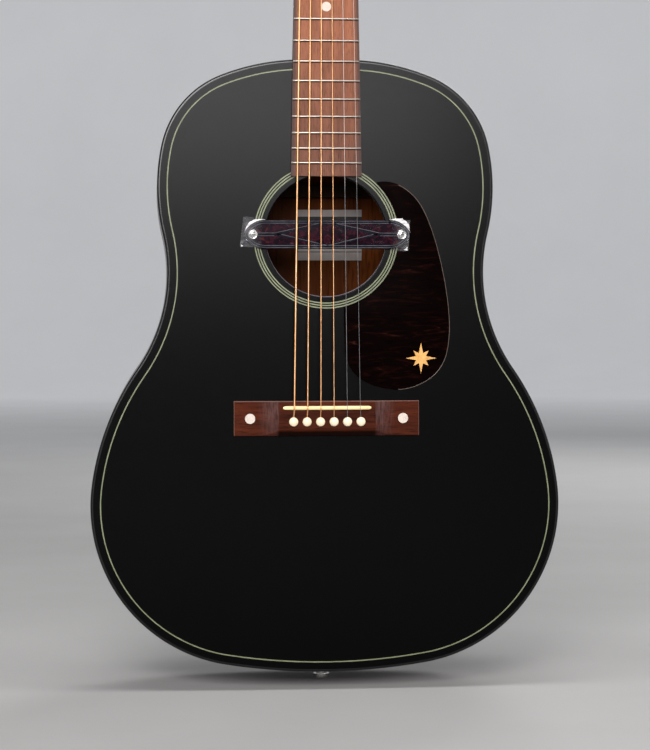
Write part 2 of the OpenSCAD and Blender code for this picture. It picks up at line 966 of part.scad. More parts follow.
module side_dot_positions() {
    for (n = dot_frets)
        translate([-board_half(dot_z(n)) - 0.1, front_y - 2.6, dot_z(n)])
            rotate([0, 90, 0]) children();
}

module dot_positions() {
    for (n = dot_frets)
        translate([0, front_y - board_thickness + 1.2, dot_z(n)])
            rotate([90, 0, 0]) children();
}

module fret_dots() {
    color(bone) {
        dot_positions() cylinder(h = 1.2, r = 4);
        side_dot_positions() cylinder(h = 3, r = 1);
    }
}

module frets() {
    color(nickel)
        for (n = [1 : fret_count])
            intersection() {
                union() {
                    translate([-40, front_y - board_thickness - 3, fret_z(n) - 1.1])
                        cube([80, 3 + crown_drop(30), 2.2]);
                    translate([-40, front_y - board_thickness - 1, fret_z(n) - 0.28])
                        cube([80, 3.2, 0.56]);
                }
                difference() {
                    board_crown(board_thickness + 1);
                    translate([0, 0, -5]) fret_floor(n);
                }
                from_front(-board_thickness - 3, 0) board_plan();
            }
}

// Everything of the fretboard cylinder beside the tang of one fret
module fret_floor(n) {
    difference() {
        board_crown(board_thickness);
        translate([-40, front_y - 20, fret_z(n) + 5 - 0.28]) cube([80, 30, 0.56]);
    }
}

module nut() {
    color(bone)
    difference() {
        intersection() {
            from_front(-nut_string_height - 0.4, 0)
                translate([-nut_width / 2, nut_z]) square([nut_width, nut_length]);
            board_crown(nut_string_height + 0.4);
        }
        for (i = [0 : 5])
            translate([string_x(i, nut_z), front_y - string_height(i) - 0.4, nut_z - 1])
                cylinder(h = nut_length + 2, r = string_radii[i] + 0.45);
    }
}

function string_height(i) = nut_string_height - crown_drop(string_x(i, nut_z));

// ---- Truss rod ----

rod_end_z = nut_z + 12;

module truss_rod() {
    color(nickel)
        translate([0, front_y + rod_depth - 3, 0]) {
            translate([0, 0, body_length - 14]) cylinder(h = rod_end_z - body_length + 14, r = rod_radius);
            translate([-2.8, -2.9, body_length - 18]) cube([5.6, 5.8, 4.1]);
        }
}

module truss_rod_nut() {
    color(gold)
        translate([0, front_y + rod_depth - 3, rod_end_z - 8])
            difference() {
                cylinder(h = 10, r = 3.9, $fn = 6);
                translate([0, 0, -1]) cylinder(h = 16, r = rod_radius + 0.05);
            }
}

module cover_region() {
    polygon([[-9, 7], [9, 7], [12, 16], [9, 34], [4, 44], [0, 46], [-4, 44], [-9, 34], [-12, 16]]);
}

module truss_rod_cover() {
    color(black)
        headstock_frame() {
            translate([0, -veneer, 0]) rotate([90, 0, 0]) linear_extrude(1.6) cover_region();
            for (z = [12, 40])
                translate([0, -veneer - 1.6, z])
                    rotate([90, 0, 0]) cylinder(h = 0.8, r = 1.6);
        }
}

veneer = 1.4;

module headstock_veneer() {
    color(black)
        difference() {
            headstock_frame()
                rotate([90, 0, 0])
                    linear_extrude(veneer)
                        union() {
                            head_region(22);
                            polygon([[-21.4, 0.4], [21.4, 0.4], [24.5, 22.2], [-24.5, 22.2]]);
                        }
            headstock_frame() translate([-6, -5, 0]) cube([12, 10, 36]);
            for (i = [0 : 5])
                headstock_frame()
                    translate([post_x(i), -10, post_z(i)])
                        rotate([-90, 0, 0]) cylinder(h = 20, r = 4.4);
        }
}

// ---- Tuners ----

gear_y = head_thickness + 3.2;
gear_radius = 5.2;
gear_outer = 6;
worm_radius = 2.5;
worm_pitch = 2 * PI * gear_radius / gear_teeth;
worm_offset = gear_outer + worm_radius + 0.15;
housing_floor = head_thickness + 0.05;

// Local frame of one tuner: X points out to its button, Y down the post, Z up the headstock
module tuner_frame(i) {
    headstock_frame()
        translate([post_x(i), 0, post_z(i)])
            mirror([post_side(i) < 0 ? 1 : 0, 0, 0])
                children();
}

// Distance from the post to the edge of the headstock
reach = 15;

module tuner_housing() {
    difference() {
        union() {
            translate([-8, housing_floor, -17]) cube([19, 1, 34]);
            translate([-7.4, housing_floor + 0.9, -13]) cube([18.4, 6.9, 21]);
        }
        translate([-6.6, housing_floor + 1, -12.2]) cube([16.8, 6, 19.4]);
        rotate([-90, 0, 0]) cylinder(h = 17, r = 3.4);
        translate([9, gear_y + 1, -worm_offset]) rotate([0, 90, 0]) cylinder(h = 5, r = 1.87);
    }
    for (z = [-15, 13.5])
        translate([0, housing_floor + 0.95, z + 0.7])
            rotate([-90, 0, 0])
                intersection() {
                    translate([0, 0, -1.6]) sphere(2.6);
                    cylinder(h = 2, r = 2);
                }
}

module tuner_housings() {
    color(nickel)
        for (i = [0 : 5])
            tuner_frame(i) tuner_housing();
}

module tuner_bushings() {
    color(nickel)
        for (i = [0 : 5])
            tuner_frame(i)
                difference() {
                    union() {
                        translate([0, -veneer - 1.4, 0]) rotate([-90, 0, 0]) cylinder(h = 1.4, r = 6.4);
                        translate([0, -veneer, 0]) rotate([-90, 0, 0]) cylinder(h = 10, r = 4.35);
                    }
                    translate([0, -10, 0]) rotate([-90, 0, 0]) cylinder(h = 30, r = post_radius + 0.05);
                }
}

module button_plan() {
    polygon([[0, -4], [3, -4.6], [7, -8], [12, -9.6], [16.5, -8.6], [18.4, -4.4], [18.8, 0],
        [18.4, 4.4], [16.5, 8.6], [12, 9.6], [7, 8], [3, 4.6], [0, 4]]);
}

// Button, shaft and worm in one turning piece; the worm has a raised thread
module tuner_knob(i) {
    start = reach + 5.5;
    tuner_frame(i)
        translate([0, gear_y + 1, -worm_offset]) {
            color(nickel) rotate([0, 90, 0]) {
                translate([0, 0, -6]) cylinder(h = start + 8, r = 1.8);
                translate([0, 0, -5])
                    linear_extrude(10, twist = 360 * 10 / worm_pitch, slices = 32)
                        translate([worm_radius - 1.9, 0]) circle(1.9, $fn = 8);
                translate([0, 0, 11.6]) cylinder(h = 2.2, r = 3);
                translate([0, 0, start - 2]) cylinder(h = 2.5, r1 = 2.4, r2 = 3.8);
            }
            color(bone)
                translate([start, 0, 0])
                    rotate([90, 0, 0])
                        intersection() {
                            translate([0, 0, -3.2]) linear_extrude(6.4) button_plan();
                            translate([9, 0, 0]) sphere(10.6);
                        }
        }
}

// Post with its gear below and the wound end of the string above the headstock
module tuner_post(i) {
    tip = -16;
    coil = string_radii[i];
    tuner_frame(i) {
        color(nickel) rotate([-90, 0, 0]) {
            difference() {
                union() {
                    translate([0, 0, tip + 5]) cylinder(h = 11 + gear_y + 2.3, r = post_radius);
                    translate([0, 0, tip]) cylinder(h = 3, r = post_radius);
                    translate([0, 0, tip + 2.9]) cylinder(h = 2.2, r = post_radius - 0.6);
                }
                translate([-5, 0, tip + 7.4]) rotate([0, 90, 0]) cylinder(h = 10, r = 0.9);
            }
            translate([0, 0, gear_y - 0.6]) gear();
        }
        color(nickel)
            rotate([-90, 0, 0])
                for (turn = [-1 : 1])
                    translate([0, 0, coil_y + (turn * 2.1 - 0.9) * coil])
                        difference() {
                            cylinder(h = 1.8 * coil, r = post_radius + 2 * coil);
                            translate([0, 0, -1]) cylinder(h = 4, r = post_radius - 0.5);
                        }
    }
}

coil_y = -6.4;

module gear() {
    linear_extrude(3.2)
        difference() {
            circle(gear_outer);
            for (k = [0 : gear_teeth - 1])
                rotate(360 / gear_teeth * k)
                    translate([gear_radius, -0.55]) square([2, 1.1]);
        }
}

module tuner_knob_1() { tuner_knob(0); }
module tuner_knob_2() { tuner_knob(1); }
module tuner_knob_3() { tuner_knob(2); }
module tuner_knob_4() { tuner_knob(3); }
module tuner_knob_5() { tuner_knob(4); }
module tuner_knob_6() { tuner_knob(5); }
module tuner_post_1() { tuner_post(0); }
module tuner_post_2() { tuner_post(1); }
module tuner_post_3() { tuner_post(2); }
module tuner_post_4() { tuner_post(3); }
module tuner_post_5() { tuner_post(4); }
module tuner_post_6() { tuner_post(5); }

// ---- Strings ----

// Path of one string: ball end under the plate, saddle crest, nut and post
module guitar_string(i) {
    r = string_radii[i];
    pin_x = (i - 2.5) * pin_pitch;
    saddle_x = string_x(i, saddle_z);
    crest = front_y - saddle_string_height + crown_drop(saddle_x);
    nut_x = string_x(i, nut_z);
    tangent = post_radius + r;
    short = sqrt(pow(post_radius + 3 * r + 0.1, 2) - tangent * tangent);
    post = on_head([post_x(i) - post_side(i) * tangent, coil_y, post_z(i) - short]);
    path = [[pin_x, front_y + 6, pin_z + 3.2], [pin_x, front_y - bridge_height - 0.8, pin_z + 3.4],
        [saddle_x, crest - r + 0.15, saddle_z], [nut_x, front_y - string_height(i), nut_z],
        [nut_x, front_y - string_height(i), nut_z + nut_length - 1], post];
    for (k = [0 : len(path) - 2]) {
        rod(path[k], path[k + 1], r);
        translate(path[k + 1]) sphere(r + 0.04);
    }
    translate([pin_x - 2, front_y + 7.4, pin_z + 4.4]) rotate([0, 90, 0]) cylinder(h = 4, r = 1.9);
}

module strings() {
    color([0.75, 0.48, 0.28])
        for (i = [0 : 5])
            guitar_string(i);
}

soundboard();
rosette();
front_purfling();
front_binding();
side_left();
side_right();
back_plate();
back_binding();
back_center_strip();
linings();
neck_block();
tail_block();
x_braces();
face_braces();
back_braces();
bridge_plate();
sound_label();
bridge();
saddle();
bridge_pins();
bridge_dots();
bridge_bolts();
pickguard();
pickguard_emblem();
pickup_cover();
pickup_inlay();
pickup_bobbin();
pickup_coil();
pickup_magnet();
pickup_clamps();
pickup_screws();
pickup_pads();
pickup_film();
pickup_lead();
end_jack();
jack_hardware();
neck();
fretboard();
frets();
fret_dots();
nut();
truss_rod();
truss_rod_nut();
truss_rod_cover();
headstock_veneer();
tuner_housings();
tuner_bushings();
tuner_knob_1();
tuner_knob_2();
tuner_knob_3();
tuner_knob_4();
tuner_knob_5();
tuner_knob_6();
tuner_post_1();
tuner_post_2();
tuner_post_3();
tuner_post_4();
tuner_post_5();
tuner_post_6();
strings();
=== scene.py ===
"""Looks for the slope-shoulder acoustic guitar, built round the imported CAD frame.

Lengths in the constants are millimetres. X is right, Y is back, Z is up the neck.
"""
from math import (acos, atan, atan2, ceil, copysign, cos, hypot, pi, radians, sin, sqrt, tan)

import bmesh
import bpy
from mathutils import Matrix, Vector, noise


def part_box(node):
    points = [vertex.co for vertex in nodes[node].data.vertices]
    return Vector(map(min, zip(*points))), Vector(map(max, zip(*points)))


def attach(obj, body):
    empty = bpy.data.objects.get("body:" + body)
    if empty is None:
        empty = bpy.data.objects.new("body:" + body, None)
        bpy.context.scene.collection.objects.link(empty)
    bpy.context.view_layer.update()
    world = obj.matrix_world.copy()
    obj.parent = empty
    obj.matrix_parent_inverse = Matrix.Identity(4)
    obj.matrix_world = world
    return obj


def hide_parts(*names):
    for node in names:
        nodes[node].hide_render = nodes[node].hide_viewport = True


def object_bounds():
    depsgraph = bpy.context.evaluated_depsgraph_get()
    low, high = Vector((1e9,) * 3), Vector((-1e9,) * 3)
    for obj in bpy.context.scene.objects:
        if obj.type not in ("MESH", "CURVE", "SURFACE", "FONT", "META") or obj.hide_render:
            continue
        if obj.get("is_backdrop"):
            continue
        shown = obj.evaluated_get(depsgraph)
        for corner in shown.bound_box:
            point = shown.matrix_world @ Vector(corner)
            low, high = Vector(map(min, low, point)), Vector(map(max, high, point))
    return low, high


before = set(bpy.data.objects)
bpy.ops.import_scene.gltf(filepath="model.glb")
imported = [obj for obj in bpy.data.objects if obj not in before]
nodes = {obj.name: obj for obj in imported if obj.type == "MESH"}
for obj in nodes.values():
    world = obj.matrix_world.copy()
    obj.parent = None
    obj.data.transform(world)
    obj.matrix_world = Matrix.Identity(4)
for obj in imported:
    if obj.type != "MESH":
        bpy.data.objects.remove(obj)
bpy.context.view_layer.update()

MM = 0.001


def mm_box(node):
    low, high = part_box(node)
    return low / MM, high / MM


# ---- measures taken from the frame

BODY = "guitar"
TOP_LOW, TOP_HIGH = mm_box("soundboard")
FRONT = TOP_LOW.y
BIND_HIGH = mm_box("front_binding")[1]
BODY_LENGTH = BIND_HIGH.z
BINDING_HEIGHT = BIND_HIGH.y - FRONT
SIDE_THICKNESS = 2.3
TOP_THICKNESS = TOP_HIGH.y - FRONT
TAIL_DEPTH = 121.0
NECK_END_DEPTH = 100.0
DEPTH_RUN = 512.0
TAPER = atan((TAIL_DEPTH - NECK_END_DEPTH) / DEPTH_RUN)
BACK_ARCH = 4600.0
ROSETTE_LOW, ROSETTE_HIGH = mm_box("rosette")
ROSETTE_OUTER = (ROSETTE_HIGH.x - ROSETTE_LOW.x) / 2
HOLE_Z = ROSETTE_LOW.z + ROSETTE_OUTER
HOLE_RADIUS = 50.8
BOARD_LOW, BOARD_HIGH = mm_box("fretboard")
BOARD_RADIUS = 305.0
NUT_LOW, NUT_HIGH = mm_box("nut")
NUT_Z = BOARD_HIGH.z
HEAD_Z = NUT_HIGH.z
HEAD_TILT = radians(14.0)
SADDLE_LOW, SADDLE_HIGH = mm_box("saddle")
CORE_HALF = 40.0
SCOOP_END = 56.0
SADDLE_Z = (SADDLE_LOW.z + SADDLE_HIGH.z) / 2
SCALE_LENGTH = 647.7
BRIDGE_LOW, BRIDGE_HIGH = mm_box("bridge")
PICKUP_LOW, PICKUP_HIGH = mm_box("pickup_cover")
PICKUP_X = (PICKUP_LOW.x + PICKUP_HIGH.x) / 2
PICKUP_Z = (PICKUP_LOW.z + PICKUP_HIGH.z) / 2

# Body outline of one half: radius and sweep in degrees of each tangent arc, heel to tail
FLAT_HALF = 18.0
BODY_ARCS = [(190.4, 21.5), (81.6, 56.4), (166.7, 25.3), (-142.4, 48.2), (219.1, 27.56),
             (135.7, 87.95)]


# ---- mesh helpers

def make_object(name, verts, faces, material=None, body=BODY, slot=None, replaces=(),
                smooth=38.0, on_stage=False):
    """A mesh object from millimetre points, riding on a CAD body."""
    mesh = bpy.data.meshes.new(name)
    mesh.from_pydata([tuple(c * MM for c in v) for v in verts], [], faces)
    bm = bmesh.new()
    bm.from_mesh(mesh)
    bmesh.ops.remove_doubles(bm, verts=bm.verts, dist=1e-7)
    bmesh.ops.recalc_face_normals(bm, faces=bm.faces)
    bm.to_mesh(mesh)
    bm.free()
    for polygon in mesh.polygons:
        polygon.use_smooth = True
    mesh.set_sharp_from_angle(angle=radians(smooth))
    obj = bpy.data.objects.new(name, mesh)
    bpy.context.scene.collection.objects.link(obj)
    if material is not None:
        mesh.materials.append(material)
    if on_stage:
        obj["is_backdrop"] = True
        return obj
    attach(obj, body)
    if replaces:
        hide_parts(*replaces)
    return obj


def sideways(direction):
    """A unit vector square to a direction."""
    helper = Vector((1, 0, 0)) if abs(direction.x) < 0.8 else Vector((0, 0, 1))
    return direction.cross(helper).normalized()


def circle(centre, side, up, radius, sides):
    return [tuple(centre + (side * cos(t) + up * sin(t)) * radius)
            for t in (2 * pi * k / sides for k in range(sides))]


class Build:
    """Collects points and faces of one object."""

    def __init__(self):
        self.verts = []
        self.faces = []

    def rings(self, rings, close_ring=True, close_rows=False, caps=False):
        base = len(self.verts)
        count = len(rings[0])
        for ring in rings:
            self.verts.extend(ring)
        rows = len(rings)
        for r in range(rows if close_rows else rows - 1):
            for k in range(count if close_ring else count - 1):
                a = base + r * count + k
                b = base + r * count + (k + 1) % count
                c = base + ((r + 1) % rows) * count + (k + 1) % count
                d = base + ((r + 1) % rows) * count + k
                self.faces.append((a, b, c, d))
        if caps:
            self.faces.append(tuple(base + k for k in range(count - 1, -1, -1)))
            self.faces.append(tuple(base + (rows - 1) * count + k for k in range(count)))

    def grid(self, rows, columns):
        """Squares over points that were added row by row."""
        for i in range(rows - 1):
            for a in range(i * columns, (i + 1) * columns - 1):
                self.faces.append((a, a + 1, a + columns + 1, a + columns))

    def box(self, low, high):
        corners = [(x, y, z) for x in (low[0], high[0]) for y in (low[1], high[1])
                   for z in (low[2], high[2])]
        base = len(self.verts)
        self.verts.extend(corners)
        for f in ((0, 1, 3, 2), (4, 6, 7, 5), (0, 4, 5, 1), (2, 3, 7, 6), (0, 2, 6, 4),
                  (1, 5, 7, 3)):
            self.faces.append(tuple(base + i for i in f))

    def tube(self, path, radius, sides=12, caps=True):
        """A round rod along a path; radius is a number or one per point."""
        points = [Vector(p) for p in path]
        rings = []
        side = None
        for i, p in enumerate(points):
            ahead = points[min(i + 1, len(points) - 1)]
            behind = points[max(i - 1, 0)]
            direction = (ahead - behind).normalized()
            if side is None:
                side = sideways(direction)
            else:
                side = (side - direction * side.dot(direction)).normalized()
            up = direction.cross(side)
            r = radius[i] if isinstance(radius, (list, tuple)) else radius
            rings.append(circle(p, side, up, r, sides))
        self.rings(rings, caps=caps)

    def lathe(self, origin, axis, profile, sides=40):
        """Turns (radius, height) pairs about an axis through origin."""
        origin = Vector(origin)
        axis = Vector(axis).normalized()
        side = sideways(axis)
        up = axis.cross(side)
        self.rings([circle(origin + axis * height, side, up, max(radius, 0.002), sides)
                    for radius, height in profile], caps=True)

    def finish(self, name, material, **options):
        return make_object(name, self.verts, self.faces, material, **options)


def capped(name, rings, material, **options):
    """One object from a row of rings, closed at both ends."""
    build = Build()
    build.rings(rings, caps=True)
    return build.finish(name, material, **options)


def spread(low, high, steps):
    return [low + (high - low) * k / steps for k in range(steps + 1)]


def arc(first, last, steps):
    """Evenly spaced angles from first to last, given in degrees."""
    return [radians(angle) for angle in spread(first, last, steps)]


def smooth_loop(points, steps):
    """Closed Catmull-Rom curve through the points."""
    out = []
    n = len(points)
    for i in range(n):
        a, b, c, d = (Vector(points[(i + k) % n]) for k in (-1, 0, 1, 2))
        for k in range(steps):
            t = k / steps
            out.append(0.5 * ((2 * b) + (c - a) * t + (2 * a - 5 * b + 4 * c - d) * t * t
                              + (3 * b - a - 3 * c + d) * t ** 3))
    return [(p[0], p[1]) for p in out]


def inset_loop(points, distance):
    """Moves a closed counter-clockwise or clockwise loop inwards."""
    area = sum(p[0] * q[1] - q[0] * p[1] for p, q in zip(points, points[1:] + points[:1]))
    sign = 1.0 if area > 0 else -1.0
    out = []
    n = len(points)
    for i in range(n):
        before = Vector(points[i]) - Vector(points[i - 1])
        after = Vector(points[(i + 1) % n]) - Vector(points[i])
        n1 = Vector((-before.y, before.x)).normalized() * sign
        n2 = Vector((-after.y, after.x)).normalized() * sign
        normal = n1 + n2
        if normal.length < 1e-6:
            normal = n1
        normal.normalize()
        scale = 1.0 / max(0.35, normal.dot(n1))
        out.append((points[i][0] + normal.x * distance * scale,
                    points[i][1] + normal.y * distance * scale))
    return out


def bevelled_plate(build, loop, front, back, bevel, steps=4, place=None):
    """A plate with a rounded front edge; loop holds (x, z) points, front < back in Y."""
    place = place or (lambda x, y, z: (x, y, z))
    rows = [(0.0, back)]
    rows += [(bevel * (1 - cos(t)), front + bevel * (1 - sin(t))) for t in arc(0, 90, steps)]
    rings = []
    for inset, y in rows:
        ring = inset_loop(loop, inset) if inset > 1e-6 else loop
        rings.append([place(x, y, z) for x, z in ring])
    build.rings(rings, caps=True)


def disc_loop(cx, cz, radius, sides=48):
    return [(cx + radius * cos(2 * pi * k / sides),
             cz + radius * sin(2 * pi * k / sides)) for k in range(sides)]


# ---- body outline

def body_chain():
    """Centre, radius, first and last heading of each tangent arc, for the right half."""
    chain = []
    pos = Vector((FLAT_HALF, 0.0))
    heading = 0.0
    for radius, sweep in BODY_ARCS:
        h = radians(heading)
        centre = pos + Vector((sin(h), -cos(h))) * radius
        turned = heading - copysign(sweep, radius)
        t = radians(turned)
        pos = centre - Vector((sin(t), -cos(t))) * radius
        chain.append((centre, radius, heading, turned))
        heading = turned
    h = radians(heading)
    radius = -pos.x / sin(h)
    chain.append((pos + Vector((sin(h), -cos(h))) * radius, radius, heading, -180.0))
    return chain


def half_outline(inset, step=1.5):
    points = [(0.0, BODY_LENGTH - inset)]
    for centre, radius, first, last in body_chain():
        steps = ceil(abs(last - first) / step)
        for k in range(steps):
            h = radians(first + (last - first) * k / steps)
            points.append((centre.x - (radius - inset) * sin(h),
                           centre.y + (radius - inset) * cos(h) + BODY_LENGTH))
    points.append((0.0, inset))
    return points


def outline(inset, step=1.5):
    half = half_outline(inset, step)
    return half + [(-x, z) for x, z in reversed(half[1:-1])]


def back_y(x, z, less=0.0):
    """Depth of the arched back surface at (x, z), less a thickness."""
    radius = BACK_ARCH - less
    local = -BACK_ARCH + sqrt(radius * radius - x * x)
    along = (z - local * sin(TAPER)) / cos(TAPER)
    return -FRONT + local * cos(TAPER) - along * sin(TAPER)


# ---- materials

SHADER_INPUTS = {
    "color": "Base Color", "rough": "Roughness", "normal": "Normal", "metallic": "Metallic",
    "specular": "Specular IOR Level", "coat": "Coat Weight", "alpha": "Alpha",
    "glow": "Emission Strength", "glow_color": "Emission Color",
}


class Finish:
    """A material and its shader, with shorthands for adding and linking nodes."""

    def __init__(self, name="", material=None):
        self.material = material or bpy.data.materials.new(name)
        self.material.use_nodes = True
        self.tree = self.material.node_tree
        self.shader = self.tree.nodes["Principled BSDF"]

    def put(self, socket, value):
        """Links a socket, or sets a plain value; a colour gets its alpha."""
        if isinstance(value, bpy.types.NodeSocket):
            self.tree.links.new(value, socket)
        elif socket.type == "RGBA":
            socket.default_value = (*value, 1.0)
        else:
            socket.default_value = value

    def node(self, kind, inputs, output=0, **settings):
        """Adds a node, fills its inputs and gives back one output."""
        node = self.tree.nodes.new("ShaderNode" + kind)
        for key, value in settings.items():
            setattr(node, key, value)
        for key, value in inputs.items():
            self.put(node.inputs[key], value)
        return node.outputs[output]

    def look(self, **inputs):
        for key, value in inputs.items():
            self.put(self.shader.inputs[SHADER_INPUTS[key]], value)
        return self.material

    def tint(self, factor, color):
        """Mixes a colour over the one that the shader has so far."""
        bare = self.shader.inputs["Base Color"].links[0].from_socket
        self.look(color=self.mix(factor, bare, color))

    def coords(self, scale=(1, 1, 1)):
        raw = self.node("TexCoord", {}, "Object")
        return self.node("Mapping", {"Vector": raw, "Scale": scale}, "Vector")

    def axes(self):
        """Object X, Y and Z."""
        raw = self.node("TexCoord", {}, "Object")
        return self.node("SeparateXYZ", {"Vector": raw}).node.outputs

    def noise(self, vector, scale, detail=6.0, roughness=0.55, distortion=0.0):
        return self.node("TexNoise", {"Vector": vector, "Scale": scale, "Detail": detail,
                                      "Roughness": roughness, "Distortion": distortion}, "Fac")

    def ramp(self, factor, stops, interpolation="LINEAR"):
        output = self.node("ValToRGB", {"Fac": factor}, "Color")
        output.node.color_ramp.interpolation = interpolation
        elements = output.node.color_ramp.elements
        while len(elements) < len(stops):
            elements.new(0.5)
        for element, (position, color) in zip(elements, stops):
            element.position = position
            element.color = (*color, 1.0)
        return output

    def span(self, value, start, end, low=0.0, high=1.0):
        return self.node("MapRange", {"Value": value, "From Min": start, "From Max": end,
                                      "To Min": low, "To Max": high}, "Result")

    def mask(self, value, start, end, top=1.0, bottom=0.0):
        """Goes from bottom to top as a coordinate runs from start to end, in mm."""
        return self.span(value, start * MM, end * MM, bottom, top)

    def vary(self, factor, low, high):
        """A value that follows the middle part of a noise."""
        return self.span(factor, 0.3, 0.7, low, high)

    def calc(self, operation, *values):
        return self.node("Math", dict(enumerate(values)), operation=operation)

    def mix(self, factor, first, second, blend="MIX"):
        return self.node("Mix", {0: factor, 6: first, 7: second}, 2, data_type="RGBA",
                         blend_type=blend)

    def bump(self, height, strength, distance):
        return self.node("Bump", {"Height": height, "Strength": strength,
                                  "Distance": distance * MM}, "Normal")


def surface(name, colors, scale, rough=(0.4, 0.5), bump=(0.1, 0.1), stretch=(1, 1, 1),
            distortion=0.0, stops=None, **look):
    """General finish: noise-mixed colour, varied roughness and a fine bump."""
    f = Finish(name)
    factor = f.noise(f.coords(stretch), scale, distortion=distortion)
    positions = stops or [0.3 + 0.4 * i / max(1, len(colors) - 1) for i in range(len(colors))]
    fine = f.noise(f.coords(stretch), scale * 3.7, 4.0)
    return f.look(color=f.ramp(factor, list(zip(positions, colors))), rough=f.vary(fine, *rough),
                  normal=f.bump(fine, *bump), **look)


def wood(name, dark, light, scale=60.0, rough=(0.4, 0.6), pores=0.4, along="Z", stretch=14.0,
         specular=0.4, **look):
    """Wood with grain running along one axis, fine pores and slow colour drift."""
    f = Finish(name)
    squeeze = tuple(1 / stretch if axis == along else 1 for axis in "XYZ")
    bands = f.noise(f.coords(squeeze), scale, 8.0, 0.62, 0.6)
    drift = f.noise(f.coords(), 9.0, 3.0)
    mixed = f.node("Mix", {0: 0.3, 2: bands, 3: drift}, data_type="FLOAT")
    middle = tuple((a + b) / 2 for a, b in zip(dark, light))
    base = f.ramp(mixed, [(0.33, dark), (0.5, middle), (0.68, light)])
    pore = f.noise(f.coords(squeeze), scale * 9, 2.0)
    pore_mask = f.ramp(pore, [(0.36, (0, 0, 0)), (0.46, (1, 1, 1))])
    return f.look(color=f.mix(pores, base, pore_mask, "MULTIPLY"),
                  rough=f.vary(pore, rough[1], rough[0]), normal=f.bump(pore, 0.25, 0.12),
                  specular=specular, **look)


